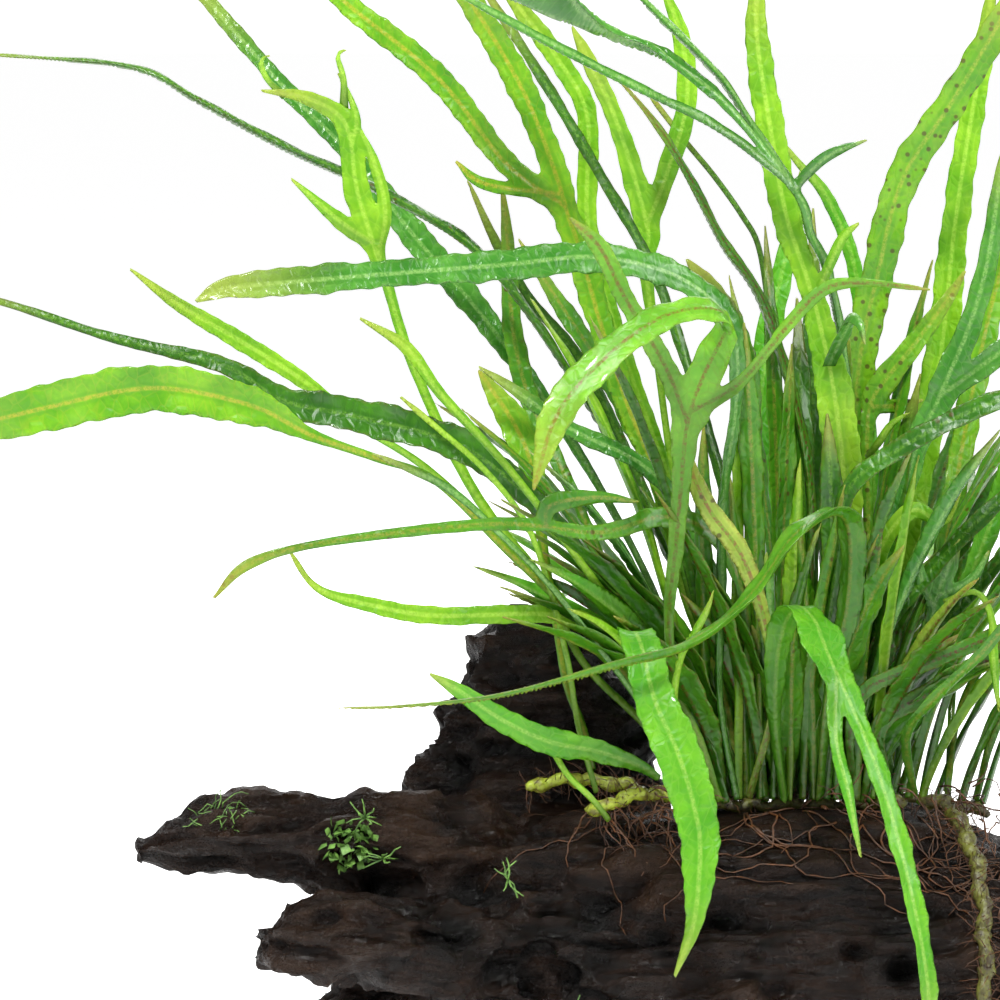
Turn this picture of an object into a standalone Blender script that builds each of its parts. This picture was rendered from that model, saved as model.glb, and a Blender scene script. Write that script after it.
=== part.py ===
"""Java fern on driftwood: an aquarium fern whose creeping rhizomes sit on a dark piece of bogwood.

Metres, +Z up. The origin is the middle of the sawn, flat underside of the wood.
"""

import math
from typing import NamedTuple

import bmesh
import bpy
from mathutils import Vector

MM = 0.001
GAP = 0.3  # mm of room between pieces that touch

BLADE_THICKNESS = 0.7  # mm, a leathery leaf with its midrib
KEEL = 0.12  # how deep a blade folds along its midrib, as a share of its half width
RING_SIDES = 14
GROUND = (400, 300, 60)  # mm, the block cut away below the underside


class Frond(NamedTuple):
    """A blade from its foot to its tip as (x, y, z, width) in mm, and the lobes that fork off it.

    turn is where its upper side faces at the foot, in degrees from +X. A lobe's first point lies on the
    blade's midrib.
    """

    name: str
    turn: float
    blade: tuple
    lobes: tuple = ()


class Limb(NamedTuple):
    """A length of wood, as rings (x, y, z, half depth or width, half height or depth) in mm."""

    name: str
    upright: bool
    phase: float
    rings: tuple


FRONDS = (
    Frond("tall_forked_left", -90, (
        (-9, 1, 53.5, 1.4), (-10, 4, 66, 1.5), (-15, 8, 82, 2), (-20, 12, 101, 3.5),
        (-27, 15, 118, 4.5), (-32, 17, 133, 5), (-36, 18, 147, 6), (-42, 19, 165, 5),
        (-47, 20, 176, 5.5), (-55, 20, 189, 4.5), (-61, 20, 197, 0.5)), (
        ((-39, 18, 153, 5), (-48, 20, 160, 4.5), (-60, 22, 175, 5), (-76, 24, 188, 4),
         (-84, 25, 196, 0.5)),
        ((-42, 18, 154, 2.5), (-52, 14, 157, 2.5), (-57, 12, 161, 0.5)),
    )),
    Frond("upright_light", -90, (
        (-4, 12, 53.5, 1.4), (-8, 16, 69, 1.5), (-14, 22, 91, 2.5), (-23, 27, 114, 3),
        (-30, 30, 134, 3.5), (-34, 31, 150, 4), (-34, 32, 168, 4), (-39, 33, 178, 4),
        (-45, 34, 186, 3.5), (-51, 34, 194, 0.5))),
    Frond("dark_narrow_left", -60, (
        (-6, -1, 53.5, 1.4), (-7, -1, 73, 1.5), (-9, -1, 94, 2), (-13, 0, 112, 2.5), (-19, 2, 131, 2.5),
        (-24, 4, 144, 2.5), (-32, 6, 158, 2.5), (-41, 8, 173, 2.5), (-50, 10, 187, 2),
        (-55, 11, 194, 0.5))),
    Frond("high_spray", -35, (
        (2, 5, 53.5, 1.4), (6, 6, 69, 1.5), (11, 7, 89, 2), (11, 6, 112, 2), (9, 4, 131, 2),
        (6, -2, 143, 2.5), (3, -6, 149, 2.5), (1, -9, 155, 2.5), (-7, -12, 166, 2.5),
        (-16, -15, 175, 2.5), (-25, -18, 184, 2.5), (-33, -20, 191, 1.5), (-39, -22, 196, 0.5)), (
        ((-1, -8, 157, 2), (-7, -10, 167, 1.5), (-13, -10, 176, 1.5), (-25, -9, 188, 1.5),
         (-31, -8, 194, 0.5)),
        ((-2, -8, 158, 2), (-13, -15, 167, 2), (-27, -20, 174, 2), (-39, -23, 180, 2),
         (-54, -26, 188, 1.5), (-62, -28, 193, 0.5)),
        ((-15, -14, 173, 3.5), (-24, -13, 179, 4), (-32, -12, 181, 4.5), (-45, -10, 187, 3.5),
         (-54, -9, 192, 0.5)),
        ((0, -8, 156, 2), (5, -9, 162, 2.5), (12, -10, 165, 0.5)),
    )),
    Frond("v_fork", -90, (
        (-3, 3, 53.4, 1.4), (-8, 10, 65, 1.5), (-13, 15, 85, 1.5), (-19, 18, 106, 1.5),
        (-22, 19, 126, 1.5), (-24, 19, 142, 3), (-24, 19, 150, 5), (-29, 18, 167, 3.5),
        (-34, 17, 178, 3), (-37, 17, 184, 0.5)), (
        ((-24, 19, 149, 4), (-20, 20, 160, 4), (-17, 21, 171, 4), (-18, 22, 182, 3.5),
         (-22, 22, 193, 0.5)),
    )),
    Frond("brown_edged", -40, (
        (1, 1, 53.5, 1.4), (2, 3, 73, 1.5), (4, 5, 93, 2), (3, 7, 112, 2.5), (-4, 9, 136, 2.5),
        (-11, 10, 147, 2.5), (-18, 10, 160, 2.5), (-24, 10, 169, 2), (-30, 10, 176, 0.5))),
    Frond("vertical_strap", -90, (
        (4, -1, 53.5, 1.4), (4, -2, 66, 2), (8, -3, 87, 5), (9, -4, 104, 7), (7, -4, 123, 7),
        (3, -3, 140, 4.5), (-1, -3, 152, 5.5), (-4, -3, 168, 5.5), (-6, -1, 182, 4.5),
        (-6, 0, 191, 2.5), (-6, 0, 196, 0.5)), (
        ((5, -3, 138, 2), (8, -6, 148, 2), (11, -7, 151, 0.5)),
    )),
    Frond("pale_behind", -90, (
        (10, 12, 53.5, 1.4), (12, 20, 74, 1.5), (16, 26, 98, 2.5), (15, 30, 119, 3), (13, 31, 141, 3),
        (8, 31, 154, 2.5), (3, 31, 160, 1.5), (-1, 31, 165, 0.5))),
    Frond("dotted_strap", -90, (
        (7, 9, 53.5, 1.4), (9, 14, 69, 1.5), (11, 17, 92, 3.5), (12, 18, 113, 5.5), (13, 18, 127, 6.5),
        (16, 17, 142, 6.5), (20, 15, 158, 6.5), (28, 12, 171, 6), (36, 9, 185, 5), (41, 7, 195, 0.5))),
    Frond("broad_right_back", -90, (
        (14, 10, 53.5, 1.4), (14, 17, 67, 2.5), (19, 23, 86, 5), (24, 27, 107, 6.5), (28, 29, 128, 6.5),
        (30, 30, 147, 5.5), (32, 30, 162, 5), (35, 30, 180, 4), (37, 30, 195, 0.5))),
    Frond("bluish_forked_right", -90, (
        (16, 3, 53.5, 1.4), (11, 5, 71, 2), (17, 7, 93, 3.5), (22, 8, 112, 4.5), (26, 8, 121, 6),
        (31, 8, 133, 4.5), (34, 8, 144, 4), (36, 8, 158, 2.5), (38, 8, 168, 0.5)), (
        ((27, 8, 120, 4.5), (36, 9, 128, 4.5), (44, 10, 133, 3), (51, 11, 137, 0.5)),
    )),
    Frond("arching_right", -125, (
        (9, -3.2, 53.2, 1.4), (6, -6, 72, 2), (7, -10, 91, 3), (9, -12, 106, 3.5), (17, -13, 113, 4),
        (30, -14, 120, 4), (41, -15, 123, 3.5), (51, -16, 120, 2.5), (57, -17, 116, 0.5))),
    Frond("spotted_forked_right", -90, (
        (13, 4, 53.5, 1.4), (11, 8, 75, 1.5), (14, 12, 96, 2), (14, 14, 113, 2.5), (15, 15, 120, 5.5),
        (22, 16, 129, 4), (28, 17, 137, 2.5), (31, 17, 142, 0.5)), (
        ((14, 15, 118, 3), (20, 17.5, 118.5, 2.5), (24, 19, 119.5, 0.5)),
    )),
    Frond("trident", -90, (
        (-19, -7, 55.5, 1.4), (-20, -11, 71, 1.5), (-21, -14, 85, 2), (-20, -17, 97, 3),
        (-19, -21, 111, 4), (-18, -23, 120, 7.5), (-15, -25, 128, 6.5), (-12, -30, 135, 6),
        (-15, -36, 138, 6), (-23, -42, 137, 6), (-32, -47, 131, 6.5), (-40, -51, 122, 6.5),
        (-44, -54, 110, 0.5)), (
        ((-18, -23, 118, 4.5), (-22, -27, 128, 4), (-29, -33, 140, 3.5), (-33, -36, 148, 3.5),
         (-38, -38, 153, 0.5)),
        ((-16, -23, 120, 4), (-10, -23, 125, 2.5), (-4, -24, 132, 2), (3, -25, 140, 2.5),
         (9, -27, 142, 2), (21, -31, 141, 0.5)),
    )),
    Frond("dark_jagged", -90, (
        (0, -2.5, 53.5, 1.4), (-4, -5, 74, 2), (-6, -7, 94, 3), (-7, -8, 111, 4), (-8, -8, 125, 5.5),
        (-11, -8, 135, 5), (-15, -8, 141, 4), (-18, -8, 145, 0.5))),
    Frond("spotted_short", -90, (
        (-7, -4, 53.2, 1.4), (-3, -10, 71, 1.5), (-5, -13, 85, 2.5), (-9, -15, 96, 4),
        (-14, -16, 103, 4), (-17, -16, 109, 3), (-18, -16, 114, 0.5))),
    Frond("broad_left", -85, (
        (-13, -3, 53.5, 1.4), (-17, -5, 62, 1.5), (-26, -7, 72, 1.5), (-36, -9, 84, 1.5),
        (-48, -11, 96, 1.5), (-60, -13, 108, 1.5), (-70, -14, 112, 1.5), (-81, -15, 116, 2.5),
        (-91, -16, 121, 7.5), (-107, -18, 124, 9), (-124, -20, 121, 9), (-139, -22, 117, 6.5),
        (-150, -24, 112, 0.5))),
    Frond("dark_left", -65, (
        (-12, 0, 53.5, 1.4), (-15, 0, 66, 1.5), (-25, 0, 81, 1.5), (-34, 0, 93, 2), (-43, -1, 103, 4.5),
        (-56, -2, 113, 6.5), (-73, -4, 118, 7), (-86, -6, 121, 5.5), (-96, -7, 127, 3.5),
        (-115, -9, 132, 2), (-133, -11, 138, 1.5), (-148, -13, 141, 0.5))),
    Frond("light_left", -90, (
        (-15, -1, 53.5, 1.4), (-19, 1, 64, 1.5), (-32, 3, 79, 1.5), (-44, 4, 92, 1.5),
        (-61, 5, 108, 1.5), (-73, 4, 116, 1.5), (-83, 3, 124, 3), (-94, 2, 131, 3.5),
        (-104, 1, 137, 2.5), (-112, 0, 143, 0.5))),
    Frond("glossy_front", -50, (
        (-9, -4, 53, 1.4), (-12, -6, 70, 1.5), (-12, -9, 88, 2), (-12, -12, 105, 2.5),
        (-10, -15, 122, 3.5), (-11, -17, 134, 5), (-19, -19, 142, 5.5), (-33, -26, 146, 6),
        (-49, -33, 145, 6), (-66, -40, 144, 5), (-81, -46, 143, 5.5), (-93, -50, 142, 4),
        (-98, -52, 140, 0.5))),
    Frond("thin_back_left", -40, (
        (-9, 11, 53.5, 1.4), (-12, 12, 68, 1), (-18, 15, 88, 1.5), (-32, 18, 116, 1.5),
        (-51, 20, 143, 3), (-69, 21, 155, 2.5), (-86, 22, 163, 2), (-101, 23, 171, 1.5),
        (-113, 24, 177, 1.5), (-136, 26, 179, 1), (-150, 27, 180, 0.5))),
    Frond("strap_back_left", -75, (
        (-12, 12, 53.5, 1.4), (-15, 18, 67, 1.5), (-25, 24, 91, 1.5), (-39, 29, 115, 2.5),
        (-53, 31, 134, 5.5), (-65, 32, 148, 6), (-76, 33, 162, 4), (-87, 34, 173, 3.5),
        (-101, 35, 189, 3), (-107, 35, 196, 0.5))),
    Frond("crested", -90, (
        (-17, 1, 53.5, 1.4), (-24, 5, 64, 1.5), (-35, 8, 75, 1.5), (-42, 10, 89, 1.5),
        (-51, 11, 100, 2), (-58, 11, 112, 2), (-65, 11, 128, 2), (-69, 11, 141, 2.5), (-72, 11, 150, 5),
        (-74, 11, 157, 5), (-75, 11, 165, 4.5), (-77, 10, 169, 4), (-83, 9, 172, 2.5),
        (-90, 8, 173, 0.5)), (
        ((-71, 11, 147, 4), (-77, 10, 151, 3), (-85, 9, 158, 0.5)),
        ((-70, 11, 144, 2.5), (-69, 12, 153, 2.5), (-71, 12, 161, 2), (-73, 12, 166, 0.5)),
        ((-74, 11, 163, 2.5), (-74, 12, 169, 1.5), (-77, 12, 176, 0.5)),
    )),
    Frond("small_left_low", -90, (
        (-12, -5.6, 52.9, 1.4), (-17, -9, 67, 1.5), (-27, -9, 82, 1.5), (-38, -9, 97, 1.5),
        (-48, -9, 110, 1.5), (-59, -8, 122, 2), (-65, -7, 130, 2.5), (-73, -6, 135, 0.5))),
    Frond("twisted_low", -55, (
        (-4, -3, 53.3, 1.4), (-7, -5, 72, 1.5), (-8, -7, 87, 2.5), (-13, -8, 98, 3.5),
        (-22, -13, 102, 4), (-33, -20, 100, 3), (-48, -26, 102, 2.5), (-66, -31, 101, 2),
        (-82, -35, 99, 1.5), (-91, -37, 96, 2), (-96, -39, 91, 0.5)), (
        ((-42, -24, 100, 2.5), (-41, -24, 105, 4), (-33, -21, 106, 2.5), (-26, -20, 105, 0.5)),
    )),
    Frond("low_left", -70, (
        (-17.5, -3.5, 53.8, 1.4), (-21, -5, 70, 1.5), (-31, -7, 82, 2.5), (-41, -8, 85, 3.5),
        (-60, -10, 85, 3.5), (-71, -12, 87, 3), (-80, -13, 90, 1.5), (-85, -14, 97, 0.5))),
    Frond("arching_front", 65, (
        (5, -4.2, 53, 1.4), (6, -11, 71, 2.5), (9, -16, 88, 5), (9, -19, 100, 5.5), (6, -24, 104, 5.5),
        (-1, -29, 100, 5.5), (-8, -33, 91, 4.5), (-18, -38, 84, 2.5), (-31, -44, 81, 1.5),
        (-49, -52, 77, 1), (-65, -59, 76, 1), (-75, -62, 76, 0.5))),
    Frond("low_broad_left", -90, (
        (-22.5, -10.5, 57.5, 1.4), (-26, -13, 60, 2.5), (-33, -17, 63, 4.5), (-41, -20, 65, 5.5),
        (-49, -22, 69, 4.5), (-56, -24, 74, 3), (-61, -25, 77, 0.5))),
    Frond("glossy_back_left", -65, (
        (-7, 4, 53.5, 1.4), (-9, 5, 69, 1.5), (-13, 6, 86, 1.5), (-17, 7, 100, 2.5), (-25, 8, 109, 3.5),
        (-37, 8, 115, 3.5), (-47, 7, 122, 2.5), (-53, 6, 126, 0.5))),
    Frond("holed_left", -90, (
        (-33.5, -0.5, 57.5, 1.4), (-35, 3, 64, 1.5), (-38, 5, 72, 1.5), (-40, 6, 84, 1.5),
        (-42, 8, 96, 2), (-44, 10, 109, 5), (-47, 12, 116, 6), (-51, 13, 122, 3), (-53, 13, 125, 0.5))),
    Frond("slim_upright_left", -90, (
        (-14, 2, 53.5, 1.4), (-17, 8, 68, 1.5), (-29, 13, 87, 1.5), (-37, 18, 104, 2.5),
        (-44, 24, 119, 4), (-47, 26, 131, 4), (-48, 27, 147, 2.5), (-49, 27, 157, 0.5))),
    Frond("dark_upright_left", -90, (
        (-7, 12.5, 53.3, 1.4), (-10, 19, 67, 1.5), (-16, 25, 84, 1.5), (-25, 30, 105, 2),
        (-35, 34, 125, 2.5), (-44, 36, 136, 2), (-50, 37, 146, 2), (-55, 37, 157, 0.5))),
    Frond("drooping_left", 75, (
        (-16, -7, 54, 1.4), (-21, -14, 68, 2), (-25, -20, 78, 4), (-27, -27, 84, 6.5),
        (-26, -34, 82, 7.5), (-24, -38, 74, 8), (-20, -41, 65, 8.5), (-17, -43, 54, 7.5),
        (-17, -45, 46, 6), (-18, -46, 38, 3), (-21, -47, 30, 0.5))),
    Frond("drooping_front", 95, (
        (-1, -5, 53, 1.4), (-3, -11, 67, 2.5), (-3, -18, 80, 5), (-1, -25, 88, 6.5), (2, -33, 87, 8),
        (4, -38, 82, 9), (8, -41, 73, 5), (12, -44, 63, 4.5), (16, -46, 49, 4.5), (19, -48, 35, 4),
        (20, -49, 25, 3.5), (18, -50, 15, 0.5)), (
        ((5, -39, 79, 4), (5, -45, 69, 3), (7, -48, 60, 2.5), (9, -49, 50, 0.5)),
    )),
    Frond("low_right_spotted", -115, (
        (11, -3, 53.5, 1.4), (10, -7, 64, 2), (12, -10, 72, 3), (19, -13, 76, 3), (28, -16, 80, 3),
        (39, -19, 85, 3), (49, -22, 86, 2.5), (55, -24, 82, 0.5))),
    Frond("low_right_broad", -120, (
        (17, -4, 53.8, 1.4), (15, -8, 66, 3.5), (23, -11, 72, 4), (35, -14, 79, 4.5),
        (46, -17, 84, 3.5), (56, -20, 85, 0.5))),
    Frond("stiff_right", -90, (
        (21, -6.5, 54, 1.4), (19, -14, 65, 2), (23, -19, 72, 2.5), (31, -24, 81, 2.5), (38, -27, 91, 2),
        (41, -28, 98, 0.5))),
    Frond("dark_right_a", -125, (
        (14, 0, 53.7, 1.4), (13, 1, 68, 1.5), (16, 1, 80, 2.5), (23, 1, 90, 3.5), (33, 0, 101, 3.5),
        (46, 0, 112, 3), (58, 0, 119, 2), (66, 0, 121, 0.5))),
    Frond("dark_right_b", -120, (
        (18, 1, 54, 1.4), (17, 4, 67, 1.5), (23, 7, 77, 2.5), (32, 9, 87, 3.5), (43, 9, 99, 3.5),
        (56, 10, 108, 2.5), (64, 10, 111, 0.5))),
    Frond("curled_right", -125, (
        (11, 1.5, 53.7, 1.4), (10, 2, 69, 1.5), (14, 2, 86, 2.5), (16, 1, 96, 3.5), (21, 0, 102, 3.5),
        (26, -2, 100, 1.5), (29, -3, 106, 0.5))),
    Frond("back_lean_left", -70, (
        (-2, 14.5, 53, 1.4), (-6, 28, 66, 1.5), (-13, 38, 84, 3.5), (-21, 45, 103, 4.5),
        (-30, 50, 121, 5), (-39, 53, 135, 4), (-46, 55, 146, 0.5))),
    Frond("back_upright", -90, (
        (5, 14.5, 53, 1.4), (2, 29, 66, 1.5), (0, 40, 86, 4), (-3, 49, 107, 5.5), (-1, 55, 128, 5.5),
        (3, 59, 146, 3.5), (5, 61, 158, 0.5))),
    Frond("back_lean_right", -110, (
        (15, 13, 53, 1.4), (15, 24, 66, 2), (27, 35, 85, 4), (40, 44, 103, 5.5), (55, 51, 121, 5),
        (68, 56, 135, 3), (75, 58, 144, 0.5))),
    Frond("right_upright", -90, (
        (22, 12, 52.5, 1.4), (25, 18, 69, 1.5), (34, 24, 91, 4), (43, 28, 115, 5.5), (52, 31, 141, 5.5),
        (59, 33, 162, 4), (64, 34, 175, 0.5))),
    Frond("right_forked", -105, (
        (28, 11.5, 52, 1.4), (31, 13, 68, 1.5), (42, 15, 85, 3), (53, 16, 101, 5), (63, 17, 116, 4.5),
        (72, 17, 132, 3), (76, 17, 142, 0.5)), (
        ((55, 16, 102, 4), (66, 12, 108, 4), (77, 8, 113, 2.5), (86, 5, 115, 0.5)),
    )),
    Frond("right_arching", -115, (
        (33, 12, 50.5, 1.4), (37, 10, 65, 2), (47, 6, 81, 4), (58, 2, 90, 5), (73, -2, 92, 5),
        (86, -6, 87, 3.5), (94, -8, 79, 0.5))),
    Frond("back_arching", -80, (
        (-8, 14.5, 53, 1.4), (-14, 30, 60, 2), (-21, 44, 73, 3.5), (-28, 58, 80, 4.5), (-35, 72, 81, 5),
        (-41, 84, 76, 3.5), (-46, 92, 67, 0.5))),
    Frond("back_right_arching", -100, (
        (9, 14.5, 53, 1.4), (9, 30, 62, 2), (15, 46, 76, 4), (22, 62, 85, 5), (28, 78, 88, 5),
        (35, 92, 82, 3.5), (40, 102, 74, 0.5))),
    Frond("back_right_tall", -90, (
        (19, 13.5, 52.5, 1.4), (20, 18, 69, 1.5), (28, 25, 91, 4), (33, 34, 115, 5), (39, 42, 139, 5),
        (47, 48, 160, 3.5), (51, 50, 173, 0.5))),
)

RHIZOMES = {
    "rhizome_main": (1.3, ((-20, -3, 52.8), (-14, -1.5, 51.7), (-5, -1, 51.4), (4, 0, 51.4),
                           (13, 0, 51.5), (20, -1.5, 52.4))),
    "rhizome_back": (1.2, ((-13, 13, 51.5), (-4, 13, 51.3), (6, 13, 51.2), (16, 13, 50.8),
                           (26, 12.5, 50), (36, 12, 48.3))),
    "rhizome_front_left": (1.2, ((-35, -14, 52.9), (-31, -13, 53.2), (-27, -11.5, 54.6),
                                 (-22.5, -8.5, 54.6), (-19.5, -7, 53.5))),
    "rhizome_left": (1.2, ((-45, -4, 54.5), (-40, -3, 56), (-34, -2, 56), (-28, -3, 55.2),
                           (-23, -4, 53.6))),
    "rhizome_right": (1.4, ((22, -3, 53), (27, -5, 51.5), (30, -17, 46), (31, -26, 38), (31, -31, 28),
                            (31, -32.5, 20))),
}

LIMBS = (
    Limb("driftwood_body", False, 0.4, (
        (-64, 2, 30, 13, 11), (-56, 2, 25, 21, 20), (-42, 2, 21, 28, 27), (-22, 2, 20, 32, 29),
        (0, 2, 20, 34, 29.3), (22, 2, 20, 32, 29), (38, 1, 18, 29, 25), (54, 0, 16, 24, 19.5),
        (68, -1, 15, 16, 13))),
    Limb("driftwood_left_arm", False, 1.7, (
        (-112, -2, 43.7, 4.5, 3.6), (-104, -1.5, 45.5, 7.5, 6), (-90, -1, 46, 9.5, 7.4),
        (-74, 0, 45, 12, 8.6), (-60, 2, 42, 13, 10), (-48, 2, 38, 12, 9))),
    Limb("driftwood_front_spur", False, 2.9, (
        (-90, -17, 30, 4.5, 4), (-85, -17, 32, 8.5, 6.5), (-72, -15, 32, 12, 8.5), (-58, -11, 29, 15, 12),
        (-46, -6, 26, 15, 12))),
    Limb("driftwood_left_foot", False, 4.1, (
        (-82, 11, 5, 5.5, 5.5), (-76, 10, 11, 9, 12), (-65, 9, 15, 11, 15), (-50, 7, 18, 12, 15))),
    Limb("driftwood_back_stump", True, 5.2, (
        (-42, 16, 34, 22, 13), (-43, 18, 48, 23.5, 12.5), (-43, 19.5, 60, 20.5, 11.5),
        (-43, 20.5, 69, 17, 10.5), (-44, 21, 76, 12.5, 8.5), (-44, 21, 81, 6.5, 5))),
    Limb("driftwood_right_arm", False, 0.9, (
        (52, 0, 18, 15, 12), (70, -2, 18, 14, 12), (84, -4, 22, 11, 9), (95, -6, 27, 7.5, 6.5),
        (103, -7, 31, 4, 3.6))),
)

# Rotted hollows in the wood, as (centre, radii) in mm.
HOLLOWS = (
    ((-52, -24, 39), (5.5, 8, 4.5)),
    ((-42, -27, 26), (6, 9, 6.5)),
    ((-37, -27, 20), (6, 8, 3.5)),
)


def clear_scene():
    for item in list(bpy.data.objects):
        bpy.data.objects.remove(item)


def new_collection(name):
    made = bpy.data.collections.new(name)
    bpy.context.scene.collection.children.link(made)
    return made


def material(name, color, roughness):
    made = bpy.data.materials.new(name)
    made.use_nodes = True
    shader = made.node_tree.nodes["Principled BSDF"]
    shader.inputs["Base Color"].default_value = (*color, 1)
    shader.inputs["Roughness"].default_value = roughness
    shader.inputs["Metallic"].default_value = 0
    made.diffuse_color = (*color, 1)
    return made


def mesh_object(name, mesh_data, collection, look):
    made = bpy.data.objects.new(name, mesh_data)
    collection.objects.link(made)
    mesh_data.materials.clear()
    mesh_data.materials.append(look)
    return made


def finished(name, build, collection, look):
    """The bmesh as an object with its normals outwards."""
    bmesh.ops.recalc_face_normals(build, faces=build.faces)
    mesh_data = bpy.data.meshes.new(name)
    build.to_mesh(mesh_data)
    build.free()
    mesh_data.shade_smooth()
    return mesh_object(name, mesh_data, collection, look)


def directions(points):
    """The unit tangent at each point of a route."""
    last = len(points) - 1
    return [(points[min(i + 1, last)] - points[max(i - 1, 0)]).normalized() for i in range(last + 1)]


def carried(normal, tangents):
    """The normal carried along a route without twist, one for each tangent."""
    normals = []
    previous = tangents[0]
    for tangent in tangents:
        normal = previous.rotation_difference(tangent) @ normal
        normal = (normal - normal.dot(tangent) * tangent).normalized()
        normals.append(normal)
        previous = tangent
    return normals


def blade_rows(frond):
    """Rows of (left edge, midrib, right edge) from the foot to the tip, and the normals there."""
    points = [Vector(station[:3]) for station in frond.blade]
    tangents = directions(points)
    turn = math.radians(frond.turn)
    normals = carried(Vector((math.cos(turn), math.sin(turn), 0)), tangents)
    rows = []
    for station, point, tangent, normal in zip(frond.blade, points, tangents, normals):
        half = station[3] / 2
        across = tangent.cross(normal)
        midrib = point - normal * KEEL * half
        rows.append((point - across * half, midrib, point + across * half))
    return rows, normals


def nearest_row(rows, point, taken):
    """The row before the lobe's root, leaving out both ends and the roots of other lobes."""
    free = [i for i in range(1, len(rows) - 2) if i not in taken]
    return min(free, key=lambda i: ((rows[i][1] + rows[i + 1][1]) / 2 - point).length)


def add_lobe(build, grid, rows, normals, lobe, taken):
    """A strip that grows out of one edge of the blade's outline."""
    points = [Vector(station[:3]) for station in lobe]
    start = nearest_row(rows, points[0], taken)
    taken.append(start)
    along = rows[start + 1][1] - rows[start][1]
    out = points[1] - points[0]
    side = 2 if out.dot(rows[start][2] - rows[start][0]) > 0 else 0
    edge = (grid[start][side], grid[start + 1][side])
    tangents = directions(points)
    carried_normals = carried(normals[start], tangents)
    sign = 1 if tangents[0].cross(carried_normals[0]).dot(along) > 0 else -1
    for station, point, tangent, normal in list(zip(lobe, points, tangents, carried_normals))[1:]:
        across = tangent.cross(normal) * sign * station[3] / 2
        pair = (build.verts.new(point - across), build.verts.new(point + across))
        build.faces.new((edge[0], edge[1], pair[1], pair[0]))
        edge = pair


def add_frond(frond, collection, look):
    rows, normals = blade_rows(frond)
    build = bmesh.new()
    grid = [[build.verts.new(corner) for corner in row] for row in rows]
    for row, above in zip(grid, grid[1:]):
        for side in (0, 1):
            build.faces.new((row[side], row[side + 1], above[side + 1], above[side]))
    taken = []
    for lobe in frond.lobes:
        add_lobe(build, grid, rows, normals, lobe, taken)
    bmesh.ops.scale(build, vec=(MM, MM, MM), verts=build.verts)
    made = finished(frond.name, build, collection, look)
    thicken = made.modifiers.new("leaf thickness", "SOLIDIFY")
    thicken.thickness = BLADE_THICKNESS * MM
    thicken.offset = 0
    made.modifiers.new("fixed diagonals", "TRIANGULATE")
    return made


def add_rhizome(name, radius, route, collection, look):
    """A round creeping stem along a smooth route."""
    curve = bpy.data.curves.new(name, "CURVE")
    curve.dimensions = "3D"
    curve.bevel_depth = radius * MM
    curve.bevel_resolution = 2
    curve.use_fill_caps = True
    spline = curve.splines.new("POLY")
    spline.points.add(len(route) - 1)
    for point, place in zip(spline.points, route):
        point.co = (*(Vector(place) * MM), 1)
    made = bpy.data.objects.new(name, curve)
    collection.objects.link(made)
    curve.materials.append(look)
    return made


def ring_points(limb, place, radii, index):
    """One uneven section through the wood, square to X, or level where the limb is upright."""
    corners = []
    for side in range(RING_SIDES):
        angle = 2 * math.pi * side / RING_SIDES
        dent = 0.5 + 0.5 * math.sin(3 * angle + limb.phase + 1.3 * index)
        dent += 0.5 + 0.5 * math.sin(5 * angle - limb.phase + 2.1 * index)
        reach = 1 - 0.045 * dent
        first = radii[0] * reach * math.cos(angle)
        second = radii[1] * reach * math.sin(angle)
        step = (first, second, 0) if limb.upright else (0, first, second)
        corners.append(Vector(place) + Vector(step))
    return corners


def limb_mesh(limb, swell):
    """The loft through a limb's rings, with its ends closed. swell is how much wider it is, in mm."""
    build = bmesh.new()
    loops = []
    for index, ring in enumerate(limb.rings):
        radii = (ring[3] + swell, ring[4] + swell)
        ends = (index == len(limb.rings) - 1) - (index == 0)
        onward = swell * ends * (1 if limb.upright or limb.rings[-1][0] > limb.rings[0][0] else -1)
        place = Vector(ring[:3]) + Vector((0, 0, onward) if limb.upright else (onward, 0, 0))
        corners = ring_points(limb, place, radii, index)
        loops.append([build.verts.new(corner * MM) for corner in corners])
    for loop, after in zip(loops, loops[1:]):
        for side in range(RING_SIDES):
            other = (side + 1) % RING_SIDES
            build.faces.new((loop[side], loop[other], after[other]))
            build.faces.new((loop[side], after[other], after[side]))
    build.faces.new(loops[0])
    build.faces.new(loops[-1])
    return build


def as_cutter(made):
    made.hide_render = True
    made.display_type = "WIRE"
    return made


def subtract(made, cutter):
    cut = made.modifiers.new("less " + cutter.name, "BOOLEAN")
    cut.operation = "DIFFERENCE"
    cut.object = cutter


def ground_cutter(collection, look):
    """What lies under the sawn flat underside."""
    build = bmesh.new()
    bmesh.ops.create_cube(build, size=1)
    bmesh.ops.scale(build, vec=Vector(GROUND) * MM, verts=build.verts)
    bmesh.ops.translate(build, vec=(0, 0, -GROUND[2] / 2 * MM), verts=build.verts)
    return as_cutter(finished("below the underside", build, collection, look))


def hollow_cutter(index, centre, radii, collection, look):
    build = bmesh.new()
    bmesh.ops.create_uvsphere(build, u_segments=10, v_segments=6, radius=MM)
    bmesh.ops.scale(build, vec=radii, verts=build.verts)
    bmesh.ops.translate(build, vec=Vector(centre) * MM, verts=build.verts)
    return as_cutter(finished(f"hollow {index}", build, collection, look))


def add_driftwood(parts, cutters, look):
    """Each limb stops a gap short of the limbs listed before it, as if sawn off at the fork."""
    ground = ground_cutter(cutters, look)
    earlier = []
    for limb in LIMBS:
        made = finished(limb.name, limb_mesh(limb, 0), parts, look)
        subtract(made, ground)
        for cutter in earlier:
            subtract(made, cutter)
        swollen = finished(limb.name + " with room", limb_mesh(limb, GAP), cutters, look)
        earlier.append(as_cutter(swollen))
    body = bpy.data.objects[LIMBS[0].name]
    for index, (centre, radii) in enumerate(HOLLOWS):
        subtract(body, hollow_cutter(index, centre, radii, cutters, look))


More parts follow.
